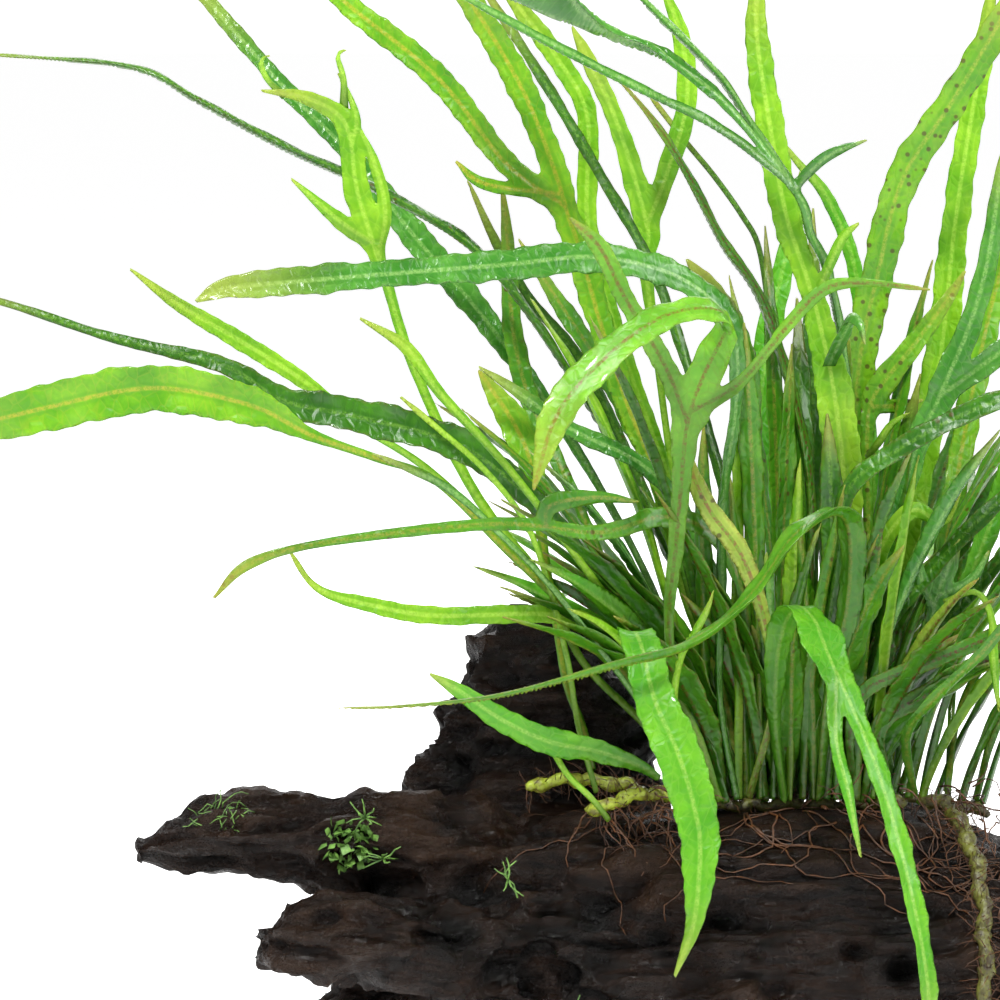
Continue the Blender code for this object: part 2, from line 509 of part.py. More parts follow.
def main():
    clear_scene()
    parts = new_collection("java_fern_on_driftwood")
    cutters = new_collection("cutters")
    wood = material("wet bogwood", (0.018, 0.011, 0.008), 0.45)
    rhizome = material("rhizome bark", (0.2, 0.3, 0.03), 0.6)
    leaf = material("fern blade", (0.1, 0.36, 0.02), 0.35)
    add_driftwood(parts, cutters, wood)
    for name, (radius, route) in RHIZOMES.items():
        add_rhizome(name, radius, route, parts, rhizome)
    for frond in FRONDS:
        add_frond(frond, parts, leaf)


main()
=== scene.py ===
"""Java fern on driftwood: the looks.

Every frond is drawn flat, as a pressed leaf with its forks, and bent along its midribs. The wood is the
packed limbs grown together, weathered and wetted.
"""

import math
from typing import NamedTuple

import bmesh
import bpy
import numpy as np
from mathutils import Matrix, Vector, noise
from mathutils.bvhtree import BVHTree


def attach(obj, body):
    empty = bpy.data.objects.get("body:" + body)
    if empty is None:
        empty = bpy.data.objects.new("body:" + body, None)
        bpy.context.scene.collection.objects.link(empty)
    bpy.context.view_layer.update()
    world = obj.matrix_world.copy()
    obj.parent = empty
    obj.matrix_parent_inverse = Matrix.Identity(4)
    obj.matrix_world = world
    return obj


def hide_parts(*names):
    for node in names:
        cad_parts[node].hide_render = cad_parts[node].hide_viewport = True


bl_info = {
    "name": "Java fern on driftwood",
    "version": (1, 0, 0),
    "blender": (4, 5, 0),
    "location": "View3D > Sidebar > Fern",
    "description": "Builds an aquarium fern on bogwood around its packed model",
    "category": "Object",
}

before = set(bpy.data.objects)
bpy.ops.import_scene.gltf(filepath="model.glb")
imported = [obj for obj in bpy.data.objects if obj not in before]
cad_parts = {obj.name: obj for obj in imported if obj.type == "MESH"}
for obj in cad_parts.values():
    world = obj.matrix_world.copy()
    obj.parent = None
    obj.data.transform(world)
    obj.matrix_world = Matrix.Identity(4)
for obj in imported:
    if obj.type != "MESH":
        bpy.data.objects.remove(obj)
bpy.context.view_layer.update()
MM = 0.001
WOOD_NODES = sorted(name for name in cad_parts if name.startswith("driftwood"))

STEP = 1.2  # mm between the stations of a midrib
CURVE_CUTS = 12  # points worked out between two stations that are given
BLOCK = 4000  # points worked on at once
FLAT_ROOM = 6  # mm of empty grid around a blade laid flat
FLAT_FAR = 9.0  # mm, said of flat points that no midrib is near
ROUND_EDGE = 0.6  # mm over which a margin grows to its full thickness
RIB_EDGE = 0.5  # mm from a margin that keeps the midrib's swelling inside the outline
MESH_CELL = 0.5  # mm, the side of one facet of a blade
WIDTH_SHARE = 0.88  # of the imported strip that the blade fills
LEAST_WIDTH = 1.0  # mm, except at the very tip
WEB = 0.7  # mm, how far the flesh rounds out a fork
BLEND = 1.3  # mm over which a blade passes from one midrib's bend to the next
BLADE_THICKNESS = 0.3  # mm, away from the midrib
RIB_THICKNESS = 0.85  # mm that the midrib adds
RIB_REACH = 0.6  # mm from the midrib to where the blade is thin
RIB_FADE = 0.85  # share of the midrib's thickness that is gone at a tip
RIB_FADE_FROM = 0.72  # share of the length where it starts to fade
RIB_FADE_OVER = 0.25
ABOVE = 0.45  # shares of half the thickness that lie above and below the sheet: a rib stands out below
BELOW = 1.55
KEEL = 0.16  # how deep the blade folds along its midrib, as a share of its half width


class Frond(NamedTuple):
    """A blade from its foot to its tip as (x, y, z, width) in mm, and the lobes that fork off it.

    turn is where its upper side faces at the foot, in degrees from +X. A lobe's first point lies on the
    blade's midrib.
    """

    name: str
    turn: float
    blade: tuple
    lobes: tuple = ()


FRONDS = (
    Frond("tall_forked_left", -90, (
        (-9, 1, 53.5, 1.4), (-10, 4, 66, 1.5), (-15, 8, 82, 2), (-20, 12, 101, 3.5),
        (-27, 15, 118, 4.5), (-32, 17, 133, 5), (-36, 18, 147, 6), (-42, 19, 165, 5),
        (-47, 20, 176, 5.5), (-55, 20, 189, 4.5), (-61, 20, 197, 0.5)), (
        ((-39, 18, 153, 5), (-48, 20, 160, 4.5), (-60, 22, 175, 5), (-76, 24, 188, 4),
         (-84, 25, 196, 0.5)),
        ((-42, 18, 154, 2.5), (-52, 14, 157, 2.5), (-57, 12, 161, 0.5)),
    )),
    Frond("upright_light", -90, (
        (-4, 12, 53.5, 1.4), (-8, 16, 69, 1.5), (-14, 22, 91, 2.5), (-23, 27, 114, 3),
        (-30, 30, 134, 3.5), (-34, 31, 150, 4), (-34, 32, 168, 4), (-39, 33, 178, 4),
        (-45, 34, 186, 3.5), (-51, 34, 194, 0.5))),
    Frond("dark_narrow_left", -60, (
        (-6, -1, 53.5, 1.4), (-7, -1, 73, 1.5), (-9, -1, 94, 2), (-13, 0, 112, 2.5), (-19, 2, 131, 2.5),
        (-24, 4, 144, 2.5), (-32, 6, 158, 2.5), (-41, 8, 173, 2.5), (-50, 10, 187, 2),
        (-55, 11, 194, 0.5))),
    Frond("high_spray", -35, (
        (2, 5, 53.5, 1.4), (6, 6, 69, 1.5), (11, 7, 89, 2), (11, 6, 112, 2), (9, 4, 131, 2),
        (6, -2, 143, 2.5), (3, -6, 149, 2.5), (1, -9, 155, 2.5), (-7, -12, 166, 2.5),
        (-16, -15, 175, 2.5), (-25, -18, 184, 2.5), (-33, -20, 191, 1.5), (-39, -22, 196, 0.5)), (
        ((-1, -8, 157, 2), (-7, -10, 167, 1.5), (-13, -10, 176, 1.5), (-25, -9, 188, 1.5),
         (-31, -8, 194, 0.5)),
        ((-2, -8, 158, 2), (-13, -15, 167, 2), (-27, -20, 174, 2), (-39, -23, 180, 2),
         (-54, -26, 188, 1.5), (-62, -28, 193, 0.5)),
        ((-15, -14, 173, 3.5), (-24, -13, 179, 4), (-32, -12, 181, 4.5), (-45, -10, 187, 3.5),
         (-54, -9, 192, 0.5)),
        ((0, -8, 156, 2), (5, -9, 162, 2.5), (12, -10, 165, 0.5)),
    )),
    Frond("v_fork", -90, (
        (-3, 3, 53.4, 1.4), (-8, 10, 65, 1.5), (-13, 15, 85, 1.5), (-19, 18, 106, 1.5),
        (-22, 19, 126, 1.5), (-24, 19, 142, 3), (-24, 19, 150, 5), (-29, 18, 167, 3.5),
        (-34, 17, 178, 3), (-37, 17, 184, 0.5)), (
        ((-24, 19, 149, 4), (-20, 20, 160, 4), (-17, 21, 171, 4), (-18, 22, 182, 3.5),
         (-22, 22, 193, 0.5)),
    )),
    Frond("brown_edged", -40, (
        (1, 1, 53.5, 1.4), (2, 3, 73, 1.5), (4, 5, 93, 2), (3, 7, 112, 2.5), (-4, 9, 136, 2.5),
        (-11, 10, 147, 2.5), (-18, 10, 160, 2.5), (-24, 10, 169, 2), (-30, 10, 176, 0.5))),
    Frond("vertical_strap", -90, (
        (4, -1, 53.5, 1.4), (4, -2, 66, 2), (8, -3, 87, 5), (9, -4, 104, 7), (7, -4, 123, 7),
        (3, -3, 140, 4.5), (-1, -3, 152, 5.5), (-4, -3, 168, 5.5), (-6, -1, 182, 4.5),
        (-6, 0, 191, 2.5), (-6, 0, 196, 0.5)), (
        ((5, -3, 138, 2), (8, -6, 148, 2), (11, -7, 151, 0.5)),
    )),
    Frond("pale_behind", -90, (
        (10, 12, 53.5, 1.4), (12, 20, 74, 1.5), (16, 26, 98, 2.5), (15, 30, 119, 3), (13, 31, 141, 3),
        (8, 31, 154, 2.5), (3, 31, 160, 1.5), (-1, 31, 165, 0.5))),
    Frond("dotted_strap", -90, (
        (7, 9, 53.5, 1.4), (9, 14, 69, 1.5), (11, 17, 92, 3.5), (12, 18, 113, 5.5), (13, 18, 127, 6.5),
        (16, 17, 142, 6.5), (20, 15, 158, 6.5), (28, 12, 171, 6), (36, 9, 185, 5), (41, 7, 195, 0.5))),
    Frond("broad_right_back", -90, (
        (14, 10, 53.5, 1.4), (14, 17, 67, 2.5), (19, 23, 86, 5), (24, 27, 107, 6.5), (28, 29, 128, 6.5),
        (30, 30, 147, 5.5), (32, 30, 162, 5), (35, 30, 180, 4), (37, 30, 195, 0.5))),
    Frond("bluish_forked_right", -90, (
        (16, 3, 53.5, 1.4), (11, 5, 71, 2), (17, 7, 93, 3.5), (22, 8, 112, 4.5), (26, 8, 121, 6),
        (31, 8, 133, 4.5), (34, 8, 144, 4), (36, 8, 158, 2.5), (38, 8, 168, 0.5)), (
        ((27, 8, 120, 4.5), (36, 9, 128, 4.5), (44, 10, 133, 3), (51, 11, 137, 0.5)),
    )),
    Frond("arching_right", -125, (
        (9, -3.2, 53.2, 1.4), (6, -6, 72, 2), (7, -10, 91, 3), (9, -12, 106, 3.5), (17, -13, 113, 4),
        (30, -14, 120, 4), (41, -15, 123, 3.5), (51, -16, 120, 2.5), (57, -17, 116, 0.5))),
    Frond("spotted_forked_right", -90, (
        (13, 4, 53.5, 1.4), (11, 8, 75, 1.5), (14, 12, 96, 2), (14, 14, 113, 2.5), (15, 15, 120, 5.5),
        (22, 16, 129, 4), (28, 17, 137, 2.5), (31, 17, 142, 0.5)), (
        ((14, 15, 118, 3), (20, 17.5, 118.5, 2.5), (24, 19, 119.5, 0.5)),
    )),
    Frond("trident", -90, (
        (-19, -7, 55.5, 1.4), (-20, -11, 71, 1.5), (-21, -14, 85, 2), (-20, -17, 97, 3),
        (-19, -21, 111, 4), (-18, -23, 120, 7.5), (-15, -25, 128, 6.5), (-12, -30, 135, 6),
        (-15, -36, 138, 6), (-23, -42, 137, 6), (-32, -47, 131, 6.5), (-40, -51, 122, 6.5),
        (-44, -54, 110, 0.5)), (
        ((-18, -23, 118, 4.5), (-22, -27, 128, 4), (-29, -33, 140, 3.5), (-33, -36, 148, 3.5),
         (-38, -38, 153, 0.5)),
        ((-16, -23, 120, 4), (-10, -23, 125, 2.5), (-4, -24, 132, 2), (3, -25, 140, 2.5),
         (9, -27, 142, 2), (21, -31, 141, 0.5)),
    )),
    Frond("dark_jagged", -90, (
        (0, -2.5, 53.5, 1.4), (-4, -5, 74, 2), (-6, -7, 94, 3), (-7, -8, 111, 4), (-8, -8, 125, 5.5),
        (-11, -8, 135, 5), (-15, -8, 141, 4), (-18, -8, 145, 0.5))),
    Frond("spotted_short", -90, (
        (-7, -4, 53.2, 1.4), (-3, -10, 71, 1.5), (-5, -13, 85, 2.5), (-9, -15, 96, 4),
        (-14, -16, 103, 4), (-17, -16, 109, 3), (-18, -16, 114, 0.5))),
    Frond("broad_left", -85, (
        (-13, -3, 53.5, 1.4), (-17, -5, 62, 1.5), (-26, -7, 72, 1.5), (-36, -9, 84, 1.5),
        (-48, -11, 96, 1.5), (-60, -13, 108, 1.5), (-70, -14, 112, 1.5), (-81, -15, 116, 2.5),
        (-91, -16, 121, 7.5), (-107, -18, 124, 9), (-124, -20, 121, 9), (-139, -22, 117, 6.5),
        (-150, -24, 112, 0.5))),
    Frond("dark_left", -65, (
        (-12, 0, 53.5, 1.4), (-15, 0, 66, 1.5), (-25, 0, 81, 1.5), (-34, 0, 93, 2), (-43, -1, 103, 4.5),
        (-56, -2, 113, 6.5), (-73, -4, 118, 7), (-86, -6, 121, 5.5), (-96, -7, 127, 3.5),
        (-115, -9, 132, 2), (-133, -11, 138, 1.5), (-148, -13, 141, 0.5))),
    Frond("light_left", -90, (
        (-15, -1, 53.5, 1.4), (-19, 1, 64, 1.5), (-32, 3, 79, 1.5), (-44, 4, 92, 1.5),
        (-61, 5, 108, 1.5), (-73, 4, 116, 1.5), (-83, 3, 124, 3), (-94, 2, 131, 3.5),
        (-104, 1, 137, 2.5), (-112, 0, 143, 0.5))),
    Frond("glossy_front", -50, (
        (-9, -4, 53, 1.4), (-12, -6, 70, 1.5), (-12, -9, 88, 2), (-12, -12, 105, 2.5),
        (-10, -15, 122, 3.5), (-11, -17, 134, 5), (-19, -19, 142, 5.5), (-33, -26, 146, 6),
        (-49, -33, 145, 6), (-66, -40, 144, 5), (-81, -46, 143, 5.5), (-93, -50, 142, 4),
        (-98, -52, 140, 0.5))),
    Frond("thin_back_left", -40, (
        (-9, 11, 53.5, 1.4), (-12, 12, 68, 1), (-18, 15, 88, 1.5), (-32, 18, 116, 1.5),
        (-51, 20, 143, 3), (-69, 21, 155, 2.5), (-86, 22, 163, 2), (-101, 23, 171, 1.5),
        (-113, 24, 177, 1.5), (-136, 26, 179, 1), (-150, 27, 180, 0.5))),
    Frond("strap_back_left", -75, (
        (-12, 12, 53.5, 1.4), (-15, 18, 67, 1.5), (-25, 24, 91, 1.5), (-39, 29, 115, 2.5),
        (-53, 31, 134, 5.5), (-65, 32, 148, 6), (-76, 33, 162, 4), (-87, 34, 173, 3.5),
        (-101, 35, 189, 3), (-107, 35, 196, 0.5))),
    Frond("crested", -90, (
        (-17, 1, 53.5, 1.4), (-24, 5, 64, 1.5), (-35, 8, 75, 1.5), (-42, 10, 89, 1.5),
        (-51, 11, 100, 2), (-58, 11, 112, 2), (-65, 11, 128, 2), (-69, 11, 141, 2.5), (-72, 11, 150, 5),
        (-74, 11, 157, 5), (-75, 11, 165, 4.5), (-77, 10, 169, 4), (-83, 9, 172, 2.5),
        (-90, 8, 173, 0.5)), (
        ((-71, 11, 147, 4), (-77, 10, 151, 3), (-85, 9, 158, 0.5)),
        ((-70, 11, 144, 2.5), (-69, 12, 153, 2.5), (-71, 12, 161, 2), (-73, 12, 166, 0.5)),
        ((-74, 11, 163, 2.5), (-74, 12, 169, 1.5), (-77, 12, 176, 0.5)),
    )),
    Frond("small_left_low", -90, (
        (-12, -5.6, 52.9, 1.4), (-17, -9, 67, 1.5), (-27, -9, 82, 1.5), (-38, -9, 97, 1.5),
        (-48, -9, 110, 1.5), (-59, -8, 122, 2), (-65, -7, 130, 2.5), (-73, -6, 135, 0.5))),
    Frond("twisted_low", -55, (
        (-4, -3, 53.3, 1.4), (-7, -5, 72, 1.5), (-8, -7, 87, 2.5), (-13, -8, 98, 3.5),
        (-22, -13, 102, 4), (-33, -20, 100, 3), (-48, -26, 102, 2.5), (-66, -31, 101, 2),
        (-82, -35, 99, 1.5), (-91, -37, 96, 2), (-96, -39, 91, 0.5)), (
        ((-42, -24, 100, 2.5), (-41, -24, 105, 4), (-33, -21, 106, 2.5), (-26, -20, 105, 0.5)),
    )),
    Frond("low_left", -70, (
        (-17.5, -3.5, 53.8, 1.4), (-21, -5, 70, 1.5), (-31, -7, 82, 2.5), (-41, -8, 85, 3.5),
        (-60, -10, 85, 3.5), (-71, -12, 87, 3), (-80, -13, 90, 1.5), (-85, -14, 97, 0.5))),
    Frond("arching_front", 65, (
        (5, -4.2, 53, 1.4), (6, -11, 71, 2.5), (9, -16, 88, 5), (9, -19, 100, 5.5), (6, -24, 104, 5.5),
        (-1, -29, 100, 5.5), (-8, -33, 91, 4.5), (-18, -38, 84, 2.5), (-31, -44, 81, 1.5),
        (-49, -52, 77, 1), (-65, -59, 76, 1), (-75, -62, 76, 0.5))),
    Frond("low_broad_left", -90, (
        (-22.5, -10.5, 57.5, 1.4), (-26, -13, 60, 2.5), (-33, -17, 63, 4.5), (-41, -20, 65, 5.5),
        (-49, -22, 69, 4.5), (-56, -24, 74, 3), (-61, -25, 77, 0.5))),
    Frond("glossy_back_left", -65, (
        (-7, 4, 53.5, 1.4), (-9, 5, 69, 1.5), (-13, 6, 86, 1.5), (-17, 7, 100, 2.5), (-25, 8, 109, 3.5),
        (-37, 8, 115, 3.5), (-47, 7, 122, 2.5), (-53, 6, 126, 0.5))),
    Frond("holed_left", -90, (
        (-33.5, -0.5, 57.5, 1.4), (-35, 3, 64, 1.5), (-38, 5, 72, 1.5), (-40, 6, 84, 1.5),
        (-42, 8, 96, 2), (-44, 10, 109, 5), (-47, 12, 116, 6), (-51, 13, 122, 3), (-53, 13, 125, 0.5))),
    Frond("slim_upright_left", -90, (
        (-14, 2, 53.5, 1.4), (-17, 8, 68, 1.5), (-29, 13, 87, 1.5), (-37, 18, 104, 2.5),
        (-44, 24, 119, 4), (-47, 26, 131, 4), (-48, 27, 147, 2.5), (-49, 27, 157, 0.5))),
    Frond("dark_upright_left", -90, (
        (-7, 12.5, 53.3, 1.4), (-10, 19, 67, 1.5), (-16, 25, 84, 1.5), (-25, 30, 105, 2),
        (-35, 34, 125, 2.5), (-44, 36, 136, 2), (-50, 37, 146, 2), (-55, 37, 157, 0.5))),
    Frond("drooping_left", 75, (
        (-16, -7, 54, 1.4), (-21, -14, 68, 2), (-25, -20, 78, 4), (-27, -27, 84, 6.5),
        (-26, -34, 82, 7.5), (-24, -38, 74, 8), (-20, -41, 65, 8.5), (-17, -43, 54, 7.5),
        (-17, -45, 46, 6), (-18, -46, 38, 3), (-21, -47, 30, 0.5))),
    Frond("drooping_front", 95, (
        (-1, -5, 53, 1.4), (-3, -11, 67, 2.5), (-3, -18, 80, 5), (-1, -25, 88, 6.5), (2, -33, 87, 8),
        (4, -38, 82, 9), (8, -41, 73, 5), (12, -44, 63, 4.5), (16, -46, 49, 4.5), (19, -48, 35, 4),
        (20, -49, 25, 3.5), (18, -50, 15, 0.5)), (
        ((5, -39, 79, 4), (5, -45, 69, 3), (7, -48, 60, 2.5), (9, -49, 50, 0.5)),
    )),
    Frond("low_right_spotted", -115, (
        (11, -3, 53.5, 1.4), (10, -7, 64, 2), (12, -10, 72, 3), (19, -13, 76, 3), (28, -16, 80, 3),
        (39, -19, 85, 3), (49, -22, 86, 2.5), (55, -24, 82, 0.5))),
    Frond("low_right_broad", -120, (
        (17, -4, 53.8, 1.4), (15, -8, 66, 3.5), (23, -11, 72, 4), (35, -14, 79, 4.5),
        (46, -17, 84, 3.5), (56, -20, 85, 0.5))),
    Frond("stiff_right", -90, (
        (21, -6.5, 54, 1.4), (19, -14, 65, 2), (23, -19, 72, 2.5), (31, -24, 81, 2.5), (38, -27, 91, 2),
        (41, -28, 98, 0.5))),
    Frond("dark_right_a", -125, (
        (14, 0, 53.7, 1.4), (13, 1, 68, 1.5), (16, 1, 80, 2.5), (23, 1, 90, 3.5), (33, 0, 101, 3.5),
        (46, 0, 112, 3), (58, 0, 119, 2), (66, 0, 121, 0.5))),
    Frond("dark_right_b", -120, (
        (18, 1, 54, 1.4), (17, 4, 67, 1.5), (23, 7, 77, 2.5), (32, 9, 87, 3.5), (43, 9, 99, 3.5),
        (56, 10, 108, 2.5), (64, 10, 111, 0.5))),
    Frond("curled_right", -125, (
        (11, 1.5, 53.7, 1.4), (10, 2, 69, 1.5), (14, 2, 86, 2.5), (16, 1, 96, 3.5), (21, 0, 102, 3.5),
        (26, -2, 100, 1.5), (29, -3, 106, 0.5))),
    Frond("back_lean_left", -70, (
        (-2, 14.5, 53, 1.4), (-6, 28, 66, 1.5), (-13, 38, 84, 3.5), (-21, 45, 103, 4.5),
        (-30, 50, 121, 5), (-39, 53, 135, 4), (-46, 55, 146, 0.5))),
    Frond("back_upright", -90, (
        (5, 14.5, 53, 1.4), (2, 29, 66, 1.5), (0, 40, 86, 4), (-3, 49, 107, 5.5), (-1, 55, 128, 5.5),
        (3, 59, 146, 3.5), (5, 61, 158, 0.5))),
    Frond("back_lean_right", -110, (
        (15, 13, 53, 1.4), (15, 24, 66, 2), (27, 35, 85, 4), (40, 44, 103, 5.5), (55, 51, 121, 5),
        (68, 56, 135, 3), (75, 58, 144, 0.5))),
    Frond("right_upright", -90, (
        (22, 12, 52.5, 1.4), (25, 18, 69, 1.5), (34, 24, 91, 4), (43, 28, 115, 5.5), (52, 31, 141, 5.5),
        (59, 33, 162, 4), (64, 34, 175, 0.5))),
    Frond("right_forked", -105, (
        (28, 11.5, 52, 1.4), (31, 13, 68, 1.5), (42, 15, 85, 3), (53, 16, 101, 5), (63, 17, 116, 4.5),
        (72, 17, 132, 3), (76, 17, 142, 0.5)), (
        ((55, 16, 102, 4), (66, 12, 108, 4), (77, 8, 113, 2.5), (86, 5, 115, 0.5)),
    )),
    Frond("right_arching", -115, (
        (33, 12, 50.5, 1.4), (37, 10, 65, 2), (47, 6, 81, 4), (58, 2, 90, 5), (73, -2, 92, 5),
        (86, -6, 87, 3.5), (94, -8, 79, 0.5))),
    Frond("back_arching", -80, (
        (-8, 14.5, 53, 1.4), (-14, 30, 60, 2), (-21, 44, 73, 3.5), (-28, 58, 80, 4.5), (-35, 72, 81, 5),
        (-41, 84, 76, 3.5), (-46, 92, 67, 0.5))),
    Frond("back_right_arching", -100, (
        (9, 14.5, 53, 1.4), (9, 30, 62, 2), (15, 46, 76, 4), (22, 62, 85, 5), (28, 78, 88, 5),
        (35, 92, 82, 3.5), (40, 102, 74, 0.5))),
    Frond("back_right_tall", -90, (
        (19, 13.5, 52.5, 1.4), (20, 18, 69, 1.5), (28, 25, 91, 4), (33, 34, 115, 5), (39, 42, 139, 5),
        (47, 48, 160, 3.5), (51, 50, 173, 0.5))),
)

RHIZOMES = {
    "rhizome_main": (1.3, ((-20, -3, 52.8), (-14, -1.5, 51.7), (-5, -1, 51.4), (4, 0, 51.4),
                           (13, 0, 51.5), (20, -1.5, 52.4))),
    "rhizome_back": (1.2, ((-13, 13, 51.5), (-4, 13, 51.3), (6, 13, 51.2), (16, 13, 50.8),
                           (26, 12.5, 50), (36, 12, 48.3))),
    "rhizome_front_left": (1.2, ((-35, -14, 52.9), (-31, -13, 53.2), (-27, -11.5, 54.6),
                                 (-22.5, -8.5, 54.6), (-19.5, -7, 53.5))),
    "rhizome_left": (1.2, ((-45, -4, 54.5), (-40, -3, 56), (-34, -2, 56), (-28, -3, 55.2),
                           (-23, -4, 53.6))),
    "rhizome_right": (1.4, ((22, -3, 53), (27, -5, 51.5), (30, -17, 46), (31, -26, 38), (31, -31, 28),
                            (31, -32.5, 20))),
}

CAMERA_AIM = (-49.3, 0, 103.7)  # mm
CAMERA_DISTANCE = 900  # mm
CAMERA_RISE = 5.0  # degrees above the level
LENS = 190.6  # mm
FLOOR_HALF = 60  # m

LEAST_FORK = 9  # degrees between a lobe and its blade where it leaves
REACH = 2.4  # mm beyond a blade's edge that its outline is worked out for
RIPPLE = 12.0  # mm from one wave of a margin to the next
RIPPLE_HEIGHT = 0.13  # as a share of the half width
RIPPLE_APART = 1.7  # radians between a ripple on one margin and the same one on the other
WAVES = (0.61, 0.83)  # radians a mm, along and across the blade, of the waves in its outline
WAVE_HEIGHT = 0.2  # mm
FINE_WAVES = (1.7, 1.3)
FINE_WAVE_HEIGHT = 0.12  # mm
TIP_REACH = 3  # mm from a tip over which the least width runs out
TWIST_FROM = 0.35  # share of the length where a blade starts to turn toward its own way
TWIST_OVER = 0.35
SWAY = 0.16  # how far a blade rolls from side to side, as a share of its half width
SWAY_LENGTH = 23  # mm
FLOOR_GLOW = 0.56  # keeps the far floor as pale as the backdrop
WORLD_LIGHT = 0.45  # strength of the world where it lights the fern
WORLD_SEEN = 1.1  # and where the camera sees it
MIDDLE = (-0.02, 0, 0.1)  # m, what most of the lamps point at
# Each softbox as its place and its target in m, its share of the key light's power, and its sides in m.
LAMPS = {
    "key": ((-0.3, -0.35, 0.9), MIDDLE, 0.8, 0.3, 0.3),
    "side": ((0.9, -0.35, 0.5), MIDDLE, 0.8, 0.3, 0.5),
    "glint": ((-0.05, -0.5, 0.8), (-0.05, -0.03, 0.03), 1.2, 0.1, 0.1),
    "rear": ((0.1, 0.9, 0.7), MIDDLE, 1.1, 0.9, 0.6),
}

LOW_SHOOTS = 46
TALL_SHOOT = 64  # mm, from where a shoot has the outline of a tall one
LIMB_GROWTH = 0.35  # mm that each limb of the wood is grown by, so that they meet
UNDERSIDE = 1.2  # mm up to which the wood is pressed flat
CROWN = (6, 3)  # mm, the middle of the part of the wood where the plants sit
CROWN_REACH = (44, 22)  # mm
CROWN_FOOT = 36  # mm above the ground
ARM_FOOT = -52  # mm along X, where the left arm leaves the trunk
ARM_END = -113  # mm along X, near the arm's worn tip
SOFTENING = 6  # passes of smoothing over the grown wood
STEM_SIDES = 12
ROOT_SIDES = 4
HAIR_SIDES = 3
CREEP_STEP = 1.6  # mm between the bends of a root on the wood
AIR_STEP = 1.3  # mm between the bends of a loose strand
ROOT_REST = 0.4  # share of its radius that a creeping root stands off the wood
LOOSE_ROOTS = 110
MOSS_MIDDLE = (-75, -10, 46)  # mm
MOSS_RADIUS = 4.2  # mm
MOSS_THREADS = 34
TUFTS = ((-48, -28, 43), (-36, -32, 21), (-72, -12, 51), (-69, -12, 44))  # mm
TUFT_THREADS = 9
# Which way the upper side of a blade faces at its tip.
FACES = {"trident": (0, -0.75, 0.65), "low_right_broad": (0, -0.6, 0.8), "drooping_left": (0, -1, 0.3)}
# Holes in a blade laid flat, as (x, y, radius) in mm from its foot.
HOLES = {"holed_left": ((92, 0.8, 0.9), (97, -1.2, 0.7), (103, 0.9, 0.6)), "broad_left": ((118, 1.9, 0.5),)}


# Materials


def linear(hex_color):
    """A '#rrggbb' screen color as linear RGBA."""
    parts = [int(hex_color[i : i + 2], 16) / 255 for i in (1, 3, 5)]
    return (*[c / 12.92 if c <= 0.04045 else ((c + 0.055) / 1.055) ** 2.4 for c in parts], 1)


def new_material(name):
    """A material with an empty tree, the tree, and its output."""
    made = bpy.data.materials.new(name)
    made.use_nodes = True
    made.node_tree.nodes.clear()
    return made, made.node_tree, made.node_tree.nodes.new("ShaderNodeOutputMaterial")


def add(tree, kind, settings=(), **inputs):
    """A node with its settings, and inputs given as values or as the sockets that feed them."""
    node = tree.nodes.new(kind)
    for key, value in dict(settings).items():
        setattr(node, key, value)
    for key, value in inputs.items():
        name = key.replace("_", " ")
        socket = node.inputs[int(name[1:])] if name[1:].isdigit() else node.inputs[name]
        if isinstance(value, bpy.types.NodeSocket):
            tree.links.new(value, socket)
        else:
            socket.default_value = value
    return node


def mixed(tree, share, first, second, mode="MIX"):
    """The color between two colors."""
    settings = {"data_type": "RGBA", "blend_type": mode}
    return add(tree, "ShaderNodeMix", settings, i0=share, i6=first, i7=second).outputs[2]


def ramp(tree, value, low, high, to_low=0.0, to_high=1.0):
    """The value mapped smoothly and held between two ends."""
    ends = {"From_Min": low, "From_Max": high, "To_Min": to_low, "To_Max": to_high}
    smooth = {"interpolation_type": "SMOOTHSTEP"}
    return add(tree, "ShaderNodeMapRange", smooth, Value=value, **ends).outputs["Result"]


def stretched(tree, vector, shares):
    """The vector with each of its numbers multiplied."""
    return add(tree, "ShaderNodeVectorMath", {"operation": "MULTIPLY"}, i0=vector, i1=shares).outputs[0]


def times(tree, first, second):
    """The two values multiplied."""
    return add(tree, "ShaderNodeMath", {"operation": "MULTIPLY"}, i0=first, i1=second).outputs[0]


def own(tree, name, output="Fac"):
    """One of the piece's own attributes."""
    return add(tree, "ShaderNodeAttribute", {"attribute_name": name}).outputs[output]


def blotches(tree, vector, size, detail=4.0, spread=0.6):
    """Soft noise with features of the given size, in the vector's units."""
    node = add(tree, "ShaderNodeTexNoise", Vector=vector, Scale=1 / size, Detail=detail, Roughness=spread)
    return node.outputs["Fac"]


class Leaf(NamedTuple):
    """Colors of a blade. fringe is how much brown fuzz it carries, spots how much of it bears spore heaps."""

    young: str
    old: str
    rib: str
    gloss: float
    fringe: float = 0.0
    spots: float = 0.0
    glow: float = 0.4


